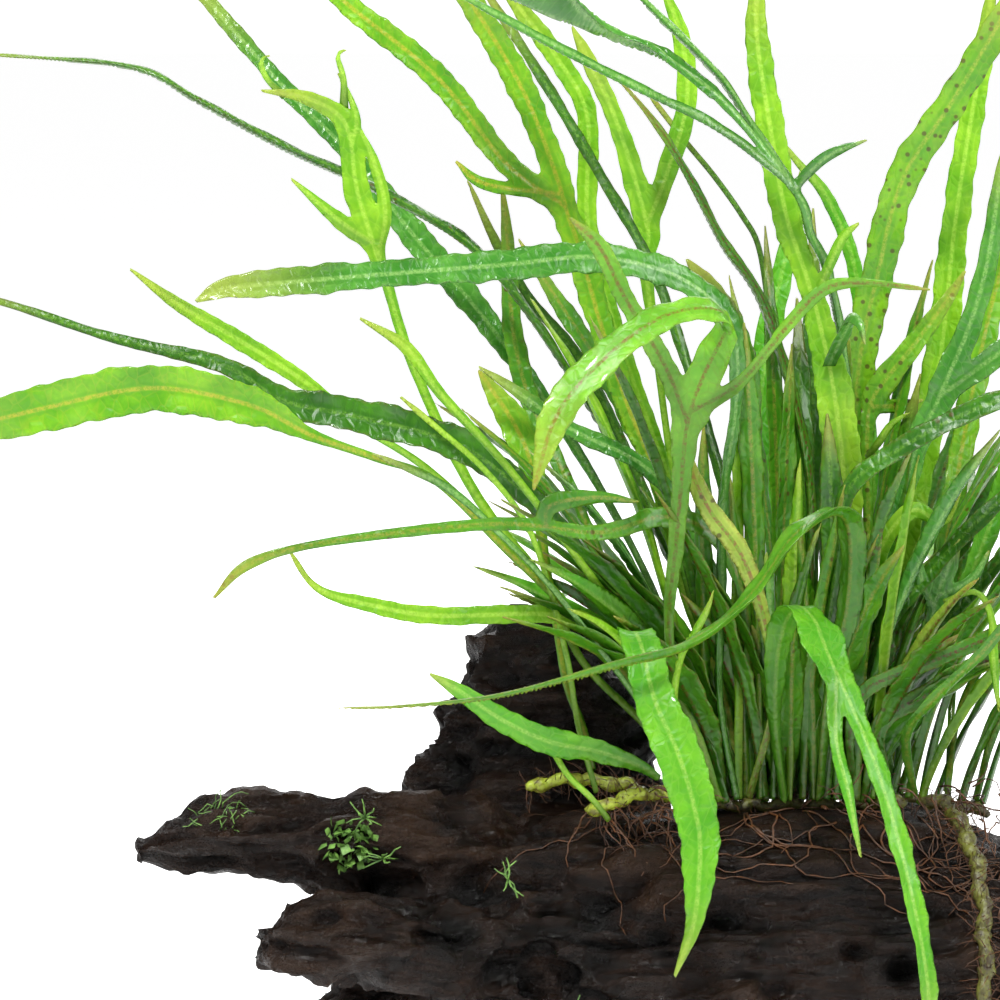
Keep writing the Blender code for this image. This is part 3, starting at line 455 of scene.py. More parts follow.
LEAVES = {
    "bright": Leaf("#9cc62c", "#66a312", "#c2dc62", 0.36, glow=0.5),
    "golden": Leaf("#8bbd24", "#559a12", "#c8ac40", 0.36, fringe=0.12, glow=0.5),
    "fresh": Leaf("#74b822", "#4a9a14", "#a4c85a", 0.34, fringe=0.08, glow=0.45),
    "mid": Leaf("#61a01c", "#377c0e", "#8c8c34", 0.3, fringe=0.25, spots=0.35, glow=0.4),
    "dark": Leaf("#3f7e0c", "#205406", "#5c8a28", 0.26, fringe=0.3, spots=0.15, glow=0.3),
    "bluish": Leaf("#559434", "#2c6e18", "#88b060", 0.16, fringe=0.15, glow=0.28),
    "brown_rib": Leaf("#5c9a1e", "#2f6e0c", "#5c3414", 0.32, fringe=0.6, spots=0.5, glow=0.38),
    "pale_rib": Leaf("#8cc636", "#5fa01e", "#7a4a1c", 0.34, fringe=0.3, glow=0.45),
    "spotted": Leaf("#80b41c", "#4c9210", "#a4aa3c", 0.34, fringe=0.2, spots=0.9, glow=0.42),
    "worn": Leaf("#b4c452", "#7aa028", "#8a6a34", 0.38, fringe=0.5, spots=0.5, glow=0.4),
}


def leaf_material(name, leaf):
    """A wet, veined blade that lets light through, with painted shade beside its midrib and toward its foot.
    """
    made, tree, output = new_material(name)
    flat = own(tree, "flat", "Vector")
    rib = own(tree, "rib")
    margin = own(tree, "margin")
    patch = ramp(tree, blotches(tree, flat, 9.0), 0.3, 0.7)
    color = mixed(tree, patch, linear(leaf.young), linear(leaf.old))
    mottled = ramp(tree, blotches(tree, flat, 1.6, 6.0, 0.7), 0.35, 0.75)
    color = mixed(tree, times(tree, mottled, 0.4), color, linear(leaf.old))
    cells = stretched(tree, flat, (0.42, 0.6, 1))
    edges = {"feature": "DISTANCE_TO_EDGE"}
    veins = add(tree, "ShaderNodeTexVoronoi", edges, Vector=cells, Scale=1.0, Randomness=0.85)
    web = veins.outputs["Distance"]
    vein = ramp(tree, web, 0.015, 0.07, 1.0, 0.0)
    color = mixed(tree, times(tree, vein, 0.12), color, linear(leaf.rib))
    fuzz = ramp(tree, blotches(tree, flat, 0.7, 3.0, 0.8), 0.42, 0.58)
    fringe_place = ramp(tree, margin, 0.1, 0.75, 1.0, 0.0)
    color = mixed(tree, times(tree, times(tree, fuzz, fringe_place), leaf.fringe), color, linear("#6b4a1d"))
    midrib = ramp(tree, rib, 0.18, 0.5, 1.0, 0.0)
    fuzzy_rib = mixed(tree, times(tree, fuzz, 0.5 + leaf.fringe), linear(leaf.rib), linear(leaf.old))
    color = mixed(tree, times(tree, midrib, 0.5 + 0.5 * min(1.0, leaf.fringe * 2)), color, fuzzy_rib)
    # Painted shade: a darker band in the groove just beside the midrib, where the blade folds.
    groove_shade = times(tree, ramp(tree, rib, 0.3, 0.6), ramp(tree, rib, 0.7, 1.3, 1.0, 0.0))
    color = mixed(tree, times(tree, groove_shade, 0.4), color, linear(leaf.old))
    if leaf.spots:
        dots = add(tree, "ShaderNodeTexVoronoi", {"feature": "F1"}, Vector=flat, Scale=0.55, Randomness=0.9)
        dot = ramp(tree, dots.outputs["Distance"], 0.16, 0.3, 1.0, 0.0)
        bearing = ramp(tree, blotches(tree, flat, 14.0, 1.0), 0.62 - 0.3 * leaf.spots, 0.7 - 0.3 * leaf.spots)
        color = mixed(tree, times(tree, times(tree, dot, bearing), 0.8), color, linear("#4d3c14"))
    tip = ramp(tree, own(tree, "along"), 0.84, 1.0)
    color = mixed(tree, times(tree, tip, 0.5), color, linear("#a9a648"))
    # Painted shade: each frond darkened over its lower half toward its foot, where the fronds crowd together
    # in the crown.
    low = ramp(tree, own(tree, "along"), 0.05, 0.55, 1.0, 0.0)
    color = mixed(tree, times(tree, low, 0.55), color, linear("#20480c"))
    swell = ramp(tree, web, 0.0, 0.3)
    bump = add(tree, "ShaderNodeBump", Height=swell, Strength=0.5, Distance=0.25 * MM)
    fine = add(
        tree, "ShaderNodeBump", Height=mottled, Strength=0.25, Distance=0.1 * MM, Normal=bump.outputs[0]
    ).outputs[0]
    skin = add(
        tree,
        "ShaderNodeBsdfPrincipled",
        Base_Color=color,
        Roughness=leaf.gloss + 0.06,
        IOR=1.4,
        Coat_Weight=0.3,
        Coat_Roughness=0.1,
        Normal=fine,
    )
    lit = add(tree, "ShaderNodeHueSaturation", Saturation=1.05, Value=1.2, Color=color)
    through = add(tree, "ShaderNodeBsdfTranslucent", Color=lit.outputs[0], Normal=fine)
    both = add(tree, "ShaderNodeMixShader", i0=leaf.glow, i1=skin.outputs[0], i2=through.outputs[0])
    tree.links.new(both.outputs[0], output.inputs["Surface"])
    return made


def wood_material():
    """Waterlogged bogwood: near black, grained, glistening where it is wet, with painted shade in its hollows
    and ridges lightened partly by painted light.
    """
    made, tree, output = new_material("bogwood")
    spot = add(tree, "ShaderNodeTexCoord").outputs["Object"]
    bent = add(tree, "ShaderNodeTexNoise", Vector=spot, Scale=1 / (30 * MM), Detail=2.0)
    sway = stretched(tree, bent.outputs["Color"], (9 * MM, 9 * MM, 9 * MM))
    swayed = add(tree, "ShaderNodeVectorMath", {"operation": "ADD"}, i0=spot, i1=sway).outputs[0]
    drawn = stretched(tree, swayed, (0.12, 1, 1))
    grain = ramp(tree, blotches(tree, drawn, 1.5 * MM, 6.0, 0.6), 0.36, 0.62)
    pores = ramp(tree, blotches(tree, spot, 0.8 * MM, 5.0, 0.75), 0.35, 0.65)
    stain = ramp(tree, blotches(tree, spot, 12 * MM, 5.0), 0.42, 0.66)
    color = mixed(tree, grain, linear("#040201"), linear("#26170e"))
    color = mixed(tree, times(tree, pores, 0.5), color, linear("#140c08"))
    color = mixed(tree, times(tree, stain, 0.35), color, linear("#2a180a"))
    crest = own(tree, "crest")
    # Painted shade: the hollows of the relief darkened to near black.
    color = mixed(tree, ramp(tree, crest, -2.0, 1.2, 0.95, 0.0), color, linear("#010100"))
    # Lighter brown on the high ridges: partly worn wood, partly painted light.
    color = mixed(tree, ramp(tree, crest, 2.0, 4.5, 0.0, 0.6), color, linear("#3d2a1c"))
    bump = add(tree, "ShaderNodeBump", Height=grain, Strength=1.0, Distance=1.4 * MM)
    fine = add(tree, "ShaderNodeBump", Height=pores, Strength=1.0, Distance=0.7 * MM, Normal=bump.outputs[0])
    wet = ramp(tree, blotches(tree, spot, 8 * MM, 3.0), 0.36, 0.58)
    rough = add(tree, "ShaderNodeMapRange", Value=wet, To_Min=0.5, To_Max=0.2).outputs["Result"]
    wet_skin = {"Base_Color": color, "Roughness": rough, "IOR": 1.33, "Normal": fine.outputs[0]}
    skin = add(tree, "ShaderNodeBsdfPrincipled", **wet_skin)
    tree.links.new(skin.outputs[0], output.inputs["Surface"])
    return made


def root_material(name, first, second, gloss=0.5):
    """A fibrous, blotchy skin of two colors."""
    made, tree, output = new_material(name)
    spot = add(tree, "ShaderNodeTexCoord").outputs["Object"]
    patch = ramp(tree, blotches(tree, spot, 1.7 * MM, 5.0, 0.7), 0.35, 0.65)
    color = mixed(tree, patch, linear(first), linear(second))
    rough = blotches(tree, spot, 0.5 * MM, 3.0)
    bump = add(tree, "ShaderNodeBump", Height=rough, Strength=0.7, Distance=0.3 * MM).outputs[0]
    skin = add(tree, "ShaderNodeBsdfPrincipled", Base_Color=color, Roughness=gloss, IOR=1.45, Normal=bump)
    tree.links.new(skin.outputs[0], output.inputs["Surface"])
    return made


LOOK_OF = {
    "bright": "upright_light vertical_strap broad_right_back crested small_left_low light_left "
    "low_left v_fork curled_right",
    "golden": "tall_forked_left broad_left right_forked holed_left back_right_tall",
    "fresh": "low_broad_left drooping_front drooping_left pale_behind right_upright back_upright",
    "mid": "arching_front twisted_low slim_upright_left right_arching back_arching "
    "back_lean_left stiff_right",
    "dark": "dark_left dark_narrow_left dark_jagged dark_upright_left dark_right_a arching_right "
    "thin_back_left back_lean_right dark_right_b",
    "bluish": "glossy_front glossy_back_left high_spray bluish_forked_right strap_back_left",
    "pale_rib": "trident",
    "brown_rib": "brown_edged low_right_spotted low_right_broad",
    "spotted": "dotted_strap spotted_forked_right back_right_arching",
    "worn": "spotted_short",
}

# Fronds too slight for a solid of their own.
SMALL_FRONDS = (
    Frond("yellow_upright", -90, (
        (-11, 3, 53.5, 1.3), (-11, 8, 68, 1.4), (-17, 12, 85, 2), (-21, 15, 101, 2.6), (-25, 17, 113, 2.8),
        (-29, 18, 122, 1.5), (-31, 18, 127, 0.3))),
    Frond("thin_right", -90, (
        (-2, 16, 53, 1.1), (0, 22, 90, 1.1), (0, 25, 112, 1.1), (-2, 27, 131, 1.1), (-4, 28, 145, 1.1),
        (-7, 29, 151, 1), (-12, 29, 158, 0.9), (-17, 29, 164, 0.8), (-24, 30, 173, 0.5))),
    Frond("thin_left", -90, (
        (-14, -6, 54, 1.1), (-38, -14, 87, 1.1), (-51, -15, 101, 1.2), (-58, -15, 107, 1.6),
        (-64, -15, 110, 1.4), (-71, -15, 113, 0.3))),
    Frond("hook", -60, (
        (-20, -9, 56, 0.9), (-20, -16, 66, 1), (-20, -22, 75, 1), (-19, -25, 80, 1.1), (-17, -26, 84, 1.6),
        (-15, -26, 88, 1.4), (-14, -26, 91, 0.3))),
    Frond("bare_stem", -70, (
        (-31, -15, 51, 1.1), (-34, -17, 55, 1.2), (-38, -17, 59, 1.2), (-41, -17, 64, 1.3))),
    Frond("tall_stem", -80, (
        (-33, -10, 55, 1.1), (-36, -12, 66, 1.1), (-38, -13, 78, 1.1), (-41, -13, 90, 1.1),
        (-45, -13, 101, 1.1), (-52, -13, 110, 1), (-60, -12, 117, 0.9), (-66, -11, 122, 0.6))),
    Frond("torn_curl", -60, (
        (6, -5, 127, 3.2), (8, -8, 132, 3), (9.5, -11, 135, 2.4), (11, -14, 134, 1.8),
        (11.5, -15, 131, 0.5))),
    Frond("pale_hanging", -90, (
        (25, -16, 88, 0.8), (30, -19, 90, 1), (32.5, -20, 86, 1.6), (33, -20, 80, 2), (33.5, -20, 74, 1.4),
        (34, -20, 70, 0.4))),
    Frond("crest_right", -90, (
        (22, 4, 62, 1.2), (24, 3, 78, 1.6), (25, 2, 86, 3.4), (27, 1, 92, 3.6), (29, 0, 97, 0.6)), (
        ((25, 2, 85, 2.4), (22.5, 1, 90, 2.4), (21.5, 0, 96, 0.5)),
        ((26, 2, 87, 2.2), (31, 1, 90, 2), (34, 1, 95, 0.5)),
    )),
    Frond("spotted_side_tip", -90, (
        (14, 13, 110, 1.2), (16, 11, 113, 1.6), (18, 10, 116, 1.4), (21, 9, 118, 0.4))),
    Frond("curl_a", -90, (
        (-86, 9, 172, 1.6), (-89, 8, 175, 1), (-90, 7, 178, 0.7), (-88.5, 6.5, 179, 0.5))),
    Frond("curl_b", -90, (
        (-76, 11, 170, 1.8), (-76, 10, 175, 1.2), (-77, 9, 179, 0.7), (-75.5, 9, 180, 0.5))),
)

# Fill around the crown: (foot, way it leans in degrees, lean, height, width, look), in mm.
SHOOTS = (
    ((-17, 3, 53), 170, 0.5, 74, 3.2, "mid"), ((-14, 6, 53), 150, 0.35, 92, 2.6, "bright"),
    ((-10, 8, 53), 200, 0.3, 88, 3.0, "dark"), ((-7, 0, 53), 250, 0.22, 60, 3.6, "mid"),
    ((-3, -3, 53), 285, 0.3, 52, 3.4, "dark"), ((2, -3, 53), 300, 0.25, 58, 4.0, "mid"),
    ((6, -3, 53), 320, 0.3, 66, 3.6, "dark"), ((10, -2, 53), 340, 0.4, 70, 3.4, "bluish"),
    ((13, 0, 53), 10, 0.45, 78, 3.8, "mid"), ((17, 1, 53), 350, 0.7, 64, 3.6, "dark"),
    ((19, 3, 53), 20, 0.85, 74, 3.8, "spotted"), ((16, 12, 52), 60, 0.6, 84, 4.2, "mid"),
    ((20, 13, 52), 30, 0.8, 88, 4.0, "bright"), ((26, 12, 51), 10, 0.95, 76, 3.6, "dark"),
    ((30, 12, 50), 340, 0.8, 60, 3.4, "mid"), ((34, 12, 50), 40, 1.0, 66, 3.2, "bluish"),
    ((8, 14, 52), 90, 0.6, 92, 4.2, "dark"), ((0, 14, 52), 100, 0.5, 98, 4.0, "mid"),
    ((-6, 14, 52), 120, 0.6, 86, 3.6, "golden"), ((-11, 13, 52), 140, 0.8, 78, 3.4, "dark"),
    ((4, 8, 53), 80, 0.2, 104, 4.4, "dark"), ((-1, 6, 53), 95, 0.15, 100, 3.8, "mid"),
    ((11, 8, 53), 45, 0.25, 96, 4.6, "mid"), ((-12, 2, 53), 215, 0.6, 70, 2.8, "bluish"),
    ((14, -1, 53), 300, 0.7, 48, 3.0, "worn"), ((-16, -4, 54), 240, 0.9, 44, 2.8, "bright"),
    ((22, -2, 52), 320, 1.0, 58, 3.2, "bright"), ((28, 10, 50), 80, 0.9, 70, 3.6, "mid"),
    ((-14, -2, 53), 230, 0.12, 66, 3.6, "mid"), ((-9, -3, 53), 262, 0.1, 74, 4.2, "bright"),
    ((-5, -3, 53), 250, 0.12, 84, 4.4, "mid"), ((0, -4, 53), 280, 0.1, 60, 4.8, "bright"),
    ((4, -4, 53), 262, 0.14, 50, 4.4, "mid"), ((8, -4, 53), 270, 0.12, 68, 5.0, "dark"),
    ((11, -4, 53), 300, 0.15, 56, 4.6, "mid"), ((14, -3, 53), 320, 0.2, 62, 4.6, "bright"),
    ((3, 3, 53), 90, 0.08, 86, 5.2, "dark"), ((-2, 3, 53), 70, 0.06, 78, 5.0, "mid"),
    ((8, 4, 53), 60, 0.1, 82, 5.2, "mid"), ((13, 5, 53), 40, 0.15, 74, 5.0, "dark"),
    ((18, 6, 52), 20, 0.3, 72, 5.0, "mid"), ((23, 8, 51), 10, 0.45, 66, 4.6, "dark"),
    ((-8, 6, 53), 120, 0.1, 84, 4.6, "dark"), ((20, -2, 53), 330, 0.55, 50, 4.2, "mid"),
    ((12, 14, 52), 70, 0.9, 76, 3.8, "bluish"), ((-3, 13, 52), 85, 1.0, 70, 3.4, "dark"),
)

# Width of a shoot along its length, as (share of the length, share of the width).
TALL_PROFILE = ((0, 0.4), (0.15, 0.36), (0.32, 0.5), (0.5, 0.85), (0.66, 1), (0.82, 0.9), (1, 0.1))
LOW_PROFILE = ((0, 0.2), (0.12, 0.42), (0.28, 0.8), (0.45, 1), (0.65, 0.9), (0.84, 0.5), (1, 0.06))


def low_shoots():
    """Short blades that close the crown, from a fixed seed."""
    rng = np.random.default_rng(11)
    made = []
    for index in range(LOW_SHOOTS):
        foot = (rng.uniform(-13, 13), rng.uniform(-4, 8), 52.5)
        way = math.degrees(math.atan2(foot[1] - 2, foot[0])) + rng.uniform(-35, 35)
        lean = 0.15 + 0.045 * abs(foot[0]) + rng.uniform(0, 0.25)
        look = ("dark", "brown_rib", "mid", "brown_rib", "fresh", "mid")[index % 6]
        made.append((foot, way, lean, rng.uniform(30, 63), rng.uniform(5.2, 8.6), look))
    return tuple(made)


def shoot_frond(index, shoot):
    """A simple blade that leans one way and droops at its end."""
    foot, lean_way, lean, height, width, _ = shoot
    angle = math.radians(lean_way)
    out = np.array((math.cos(angle), math.sin(angle)))
    rng = np.random.default_rng(40 + index)
    sway = rng.normal(0, 2.2, 2)
    stations = []
    profile = LOW_PROFILE if height < TALL_SHOOT else TALL_PROFILE
    for share, width_share in profile:
        reach = height * lean * (0.35 * share + 0.65 * share**2)
        rise = height * (share - 0.22 * lean * share**3)
        x, y = np.array(foot[:2]) + out * reach + sway * share**2
        stations.append((x, y, foot[2] + rise, max(0.3, width * width_share)))
    return Frond(f"shoot_{index + 1:02d}", lean_way + 180 + rng.normal(0, 25), tuple(stations))


# Frond meshes


def along_curve(stations):
    """The stations (x, y, z, width) at even steps along a smooth curve through them, in mm."""
    points = np.array([tuple(station) for station in stations], float)
    padded = np.vstack([2 * points[0] - points[1], points, 2 * points[-1] - points[-2]])
    dense = []
    for a, b, c, d in zip(padded, padded[1:], padded[2:], padded[3:]):
        for t in np.linspace(0, 1, CURVE_CUTS, endpoint=False):
            dense.append(b + 0.5 * t * (c - a + t * (2 * a - 5 * b + 4 * c - d + t * (3 * (b - c) + d - a))))
    dense = np.array([*dense, points[-1]])
    lengths = np.concatenate([[0], np.cumsum(np.linalg.norm(np.diff(dense[:, :3], axis=0), axis=1))])
    count = max(3, round(lengths[-1] / STEP) + 1)
    even = np.linspace(0, lengths[-1], count)
    return np.stack([np.interp(even, lengths, column) for column in dense.T], axis=1)


def unit(vectors):
    """The vectors at a length of one."""
    return vectors / np.maximum(np.linalg.norm(vectors, axis=-1, keepdims=True), 1e-9)


class Branch:
    """A midrib in space with its frame at each station, and the same midrib laid out flat."""

    def __init__(self, stations, normal, flat_start, heading, faces=None):
        route = along_curve(stations)
        self.points = route[:, :3]
        from_tip = STEP * np.arange(len(route))[::-1]
        least = LEAST_WIDTH * np.clip(from_tip / TIP_REACH, 0.2, 1)
        self.widths = np.maximum(route[:, 3] * WIDTH_SHARE, least)
        self.tangents = unit(np.gradient(self.points, axis=0))
        self.normals = np.zeros_like(self.points)
        for index, tangent in enumerate(self.tangents):
            normal = unit(normal - normal.dot(tangent) * tangent)
            self.normals[index] = normal
        if faces:
            self.face(np.array(faces, float))
        self.acrosses = np.cross(self.tangents, self.normals)
        self.flat = [np.array(flat_start, float)]
        self.headings = [heading]
        for index in range(len(self.points) - 1):
            step = self.points[index + 1] - self.points[index]
            turned = math.atan2(step @ self.acrosses[index], step @ self.tangents[index])
            direction = self.headings[-1] - turned
            length = np.linalg.norm(step)
            self.flat.append(self.flat[-1] + length * np.array([math.cos(direction), math.sin(direction)]))
            bend = self.tangents[index + 1]
            curved = math.atan2(bend @ self.acrosses[index], bend @ self.tangents[index])
            self.headings.append(self.headings[-1] - curved)
        self.flat = np.array(self.flat)
        self.length = STEP * (len(self.points) - 1)

    def face(self, way):
        """Twists the blade little by little so that its upper side faces the given way at the tip."""
        shares = np.linspace(0, 1, len(self.points))
        eased = np.clip((shares - TWIST_FROM) / TWIST_OVER, 0, 1)
        for index, tangent in enumerate(self.tangents):
            wanted = way - way.dot(tangent) * tangent
            mix = eased[index] ** 2 * (3 - 2 * eased[index])
            self.normals[index] = unit((1 - mix) * self.normals[index] + mix * unit(wanted))


def lobe_branch(blade, lobe):
    """A lobe's branch, which starts on the blade's midrib and bends away with the blade's own frame."""
    root = np.argmin(np.linalg.norm(blade.points - np.array(lobe[0][:3]), axis=1))
    stations = [(*blade.points[root], lobe[0][3]), *lobe[1:]]
    route = along_curve(stations)
    away = unit(route[1, :3] - route[0, :3])
    turned = math.atan2(away @ blade.acrosses[root], away @ blade.tangents[root])
    turned = math.copysign(max(abs(turned), math.radians(LEAST_FORK)), turned)
    return Branch(stations, blade.normals[root], blade.flat[root], blade.headings[root] - turned)


def flat_fields(branch, grid_x, grid_y):
    """How far each flat point lies outside a branch's outline, and from its midrib."""
    outside = np.full((len(grid_x), len(grid_y)), FLAT_FAR)
    nearest = np.full_like(outside, 1e9)
    for index, (start, end) in enumerate(zip(branch.flat, branch.flat[1:])):
        reach = branch.widths[index] / 2 + REACH
        low, high = np.minimum(start, end) - reach, np.maximum(start, end) + reach
        rows = slice(*np.searchsorted(grid_x, (low[0], high[0])))
        columns = slice(*np.searchsorted(grid_y, (low[1], high[1])))
        dx = grid_x[rows, None] - start[0]
        dy = grid_y[None, columns] - start[1]
        way = end - start
        length = np.hypot(*way)
        share = (dx * way[0] + dy * way[1]) / length**2
        held = np.clip(share, 0, 1)
        gap = np.hypot(dx - held * way[0], dy - held * way[1])
        width = branch.widths[index] + (branch.widths[index + 1] - branch.widths[index]) * held
        closer = gap < nearest[rows, columns]
        nearest[rows, columns] = np.where(closer, gap, nearest[rows, columns])
        outside[rows, columns] = np.where(closer, gap - width / 2, outside[rows, columns])
    return outside, nearest


def sampled(values, place):
    """A branch's values at fractional stations."""
    whole = np.clip(np.floor(place).astype(int), 0, len(values) - 2)
    share = (place - whole)[:, None]
    return values[whole] * (1 - share) + values[whole + 1] * share


def flat_outline(field, grid_x, grid_y):
    """Flat points and polygons of where the field is below zero. A point's third number marks the edge."""
    points = []
    index_of = {}

    def corner(i, j):
        key = (i, j)
        if key not in index_of:
            index_of[key] = len(points)
            points.append((grid_x[i], grid_y[j], 0))
        return index_of[key]

    def crossing(i, j, k, m):
        key = (i, j, k, m) if (i, j) < (k, m) else (k, m, i, j)
        if key not in index_of:
            share = field[i, j] / (field[i, j] - field[k, m])
            index_of[key] = len(points)
            x = grid_x[i] + (grid_x[k] - grid_x[i]) * share
            y = grid_y[j] + (grid_y[m] - grid_y[j]) * share
            points.append((x, y, 1))
        return index_of[key]

    inside = field < 0
    cells = inside[:-1, :-1] | inside[1:, :-1] | inside[1:, 1:] | inside[:-1, 1:]
    polygons = []
    for i, j in np.argwhere(cells):
        ring = ((i, j), (i + 1, j), (i + 1, j + 1), (i, j + 1))
        polygon = []
        for here, there in zip(ring, ring[1:] + ring[:1]):
            if inside[here]:
                polygon.append(corner(*here))
            if inside[here] != inside[there]:
                polygon.append(crossing(*here, *there))
        polygons.append(polygon)
    return np.array(points), polygons


def largest_patch(points, polygons):
    """The points and polygons of the largest connected patch."""
    parent = list(range(len(points)))

    def root(index):
        while parent[index] != index:
            parent[index] = parent[parent[index]]
            index = parent[index]
        return index

    for polygon in polygons:
        for other in polygon[1:]:
            parent[root(other)] = root(polygon[0])
    roots = [root(polygon[0]) for polygon in polygons]
    main_root = max(set(roots), key=roots.count)
    kept = [polygon for polygon, its_root in zip(polygons, roots) if its_root == main_root]
    used = sorted({index for polygon in kept for index in polygon})
    renamed = {old: new for new, old in enumerate(used)}
    return points[used], [[renamed[index] for index in polygon] for polygon in kept]


def seed_of(name):
    """A number of a piece's own, from the letters of its name."""
    return sum(ord(letter) * (place + 1) for place, letter in enumerate(name))


def smooth_min(fields, reach):
    """The least of several fields, rounded where two are nearly equal."""
    result = fields[0]
    for field in fields[1:]:
        blend = np.clip(0.5 + 0.5 * (field - result) / reach, 0, 1)
        result = field * (1 - blend) + result * blend - reach * blend * (1 - blend)
    return result


def frond_mesh(frond):
    """The frond as a closed mesh, with the distances to its midrib and margin on every point."""
    seed = seed_of(frond.name)
    turn = math.radians(frond.turn)
    side = np.array((math.cos(turn), math.sin(turn), 0))
    blade = Branch(frond.blade, side, (0, 0), 0, FACES.get(frond.name))
    branches = [blade]
    for lobe in frond.lobes:
        branches.append(lobe_branch(blade, lobe))
    flat = np.vstack([branch.flat for branch in branches])
    low, high = flat.min(axis=0) - FLAT_ROOM, flat.max(axis=0) + FLAT_ROOM
    grid_x = np.arange(low[0], high[0], MESH_CELL)
    grid_y = np.arange(low[1], high[1], MESH_CELL)
    fields = [flat_fields(branch, grid_x, grid_y) for branch in branches]
    outline = smooth_min([field[0] for field in fields], WEB)
    waves = np.sin(grid_x[:, None] * WAVES[0] + seed) * np.sin(grid_y[None, :] * WAVES[1] + seed * 0.7)
    fine = np.sin(grid_x[:, None] * FINE_WAVES[0] + grid_y[None, :] * FINE_WAVES[1])
    wide = np.clip((np.min([field[1] for field in fields], axis=0) - 0.6) / 2, 0, 1)
    outline = outline + wide * (WAVE_HEIGHT * waves + FINE_WAVE_HEIGHT * fine)
    for x, y, radius in HOLES.get(frond.name, ()):
        hole = radius - np.hypot(grid_x[:, None] - x, grid_y[None, :] - y)
        outline = np.maximum(outline, hole)
    points, polygons = largest_patch(*flat_outline(outline, grid_x, grid_y))
    return bent_mesh(frond.name, branches, outline, points, polygons, (grid_x, grid_y), seed)


def at_points(values, points, grids):
    """Grid values at flat points, blended between the four nearest nodes."""
    grid_x, grid_y = grids
    x = np.clip((points[:, 0] - grid_x[0]) / MESH_CELL, 0, len(grid_x) - 1.001)
    y = np.clip((points[:, 1] - grid_y[0]) / MESH_CELL, 0, len(grid_y) - 1.001)
    i, j = x.astype(int), y.astype(int)
    u, v = x - i, y - j
    low = values[i, j] * (1 - v) + values[i, j + 1] * v
    high = values[i + 1, j] * (1 - v) + values[i + 1, j + 1] * v
    return low * (1 - u) + high * u


def exact_fields(branch, points):
    """Place, offset and gap of flat points from a branch, each from the nearest stretch of midrib."""
    starts, ends = branch.flat[:-1], branch.flat[1:]
    ways = ends - starts
    lengths = np.linalg.norm(ways, axis=1)
    place = np.zeros(len(points))
    offset = np.zeros(len(points))
    gap = np.zeros(len(points))
    for block in np.array_split(np.arange(len(points)), max(1, len(points) // BLOCK)):
        delta = points[block, None, :2] - starts[None]
        share = np.einsum("pij,ij->pi", delta, ways) / lengths**2
        held = np.clip(share, 0, 1)
        off = delta - held[..., None] * ways
        gaps = np.linalg.norm(off, axis=2)
        best = np.argmin(gaps, axis=1)
        rows = np.arange(len(block))
        place[block] = best + held[rows, best]
        side = delta[..., 0] * ways[:, 1] - delta[..., 1] * ways[:, 0]
        offset[block] = side[rows, best] / lengths[best]
        gap[block] = gaps[rows, best]
    return place, offset, gap


def bent_mesh(name, branches, outline, points, polygons, grids, seed):
    """The flat blade bent along its midribs and given its thickness."""
    outside = []
    bases = []
    ups = []
    ribs = []
    shares = []
    narrow = []
    for branch in branches:
        place, offset, gap = exact_fields(branch, points)
        width = sampled(branch.widths[:, None], place)[:, 0]
        up = unit(sampled(branch.normals, place))
        half = np.maximum(width / 2, 0.7)
        edge_share = np.minimum(np.abs(offset) / half, 1.2)
        ripple = np.sin(place * STEP / RIPPLE * 2 * math.pi + seed + RIPPLE_APART * np.sign(offset))
        lift = KEEL * np.abs(offset) + RIPPLE_HEIGHT * half * edge_share**2 * ripple
        sway = SWAY * half * np.sin(place * STEP / SWAY_LENGTH + seed * 1.3)
        across = sampled(branch.acrosses, place) * offset[:, None]
        bases.append(sampled(branch.points, place) + across + up * (lift + sway * edge_share)[:, None])
        ups.append(up)
        outside.append(gap - width / 2)
        ribs.append(gap)
        shares.append(place * STEP / branch.length)
        narrow.append(np.clip(1 - (width - 1.6) / 2.5, 0, 1))
    outside = np.array(outside)
    weights = np.exp(-(outside - outside.min(axis=0)) / BLEND)
    weights /= weights.sum(axis=0)
    base = np.einsum("bp,bpi->pi", weights, np.array(bases))
    up = unit(np.einsum("bp,bpi->pi", weights, np.array(ups)))
    rib = np.min(ribs, axis=0)
    along = (weights * np.array(shares)).sum(axis=0)
    stalk = (weights * np.array(narrow)).sum(axis=0)
    margin = np.maximum(-at_points(outline, points, grids), 0)
    margin[points[:, 2] == 1] = 0
    thin = BLADE_THICKNESS * np.sqrt(1 - (1 - np.minimum(margin / ROUND_EDGE, 1)) ** 2)
    thick = RIB_THICKNESS * (1 + 0.5 * stalk) * np.exp(-((rib / RIB_REACH) ** 2))
    thick *= 1 - RIB_FADE * np.clip((along - RIB_FADE_FROM) / RIB_FADE_OVER, 0, 1)
    half = (thin + thick * np.minimum(margin / RIB_EDGE, 1)) / 2
    on_edge = points[:, 2] == 1
    half[on_edge] = 0
    count = len(points)
    below = np.arange(count)
    free = np.flatnonzero(~on_edge)
    below[free] = count + np.arange(len(free))
    places = np.vstack([base + up * (half * ABOVE)[:, None], (base - up * (half * BELOW)[:, None])[free]])
    faces = polygons + [[int(below[index]) for index in reversed(polygon)] for polygon in polygons]
    mesh = bpy.data.meshes.new(name)
    mesh.from_pydata((places * MM).tolist(), [], faces)
    order = np.concatenate([np.arange(count), free])
    numbers = {"rib": rib, "along": along, "margin": margin, "stalk": stalk}
    for number, values in numbers.items():
        mesh.attributes.new(number, "FLOAT", "POINT").data.foreach_set("value", values[order])
    flat = np.stack([points[:, 0], points[:, 1], np.full(count, seed % 97)], axis=1)[order]
    mesh.attributes.new("flat", "FLOAT_VECTOR", "POINT").data.foreach_set("vector", flat.ravel())
    return mesh


# Pieces


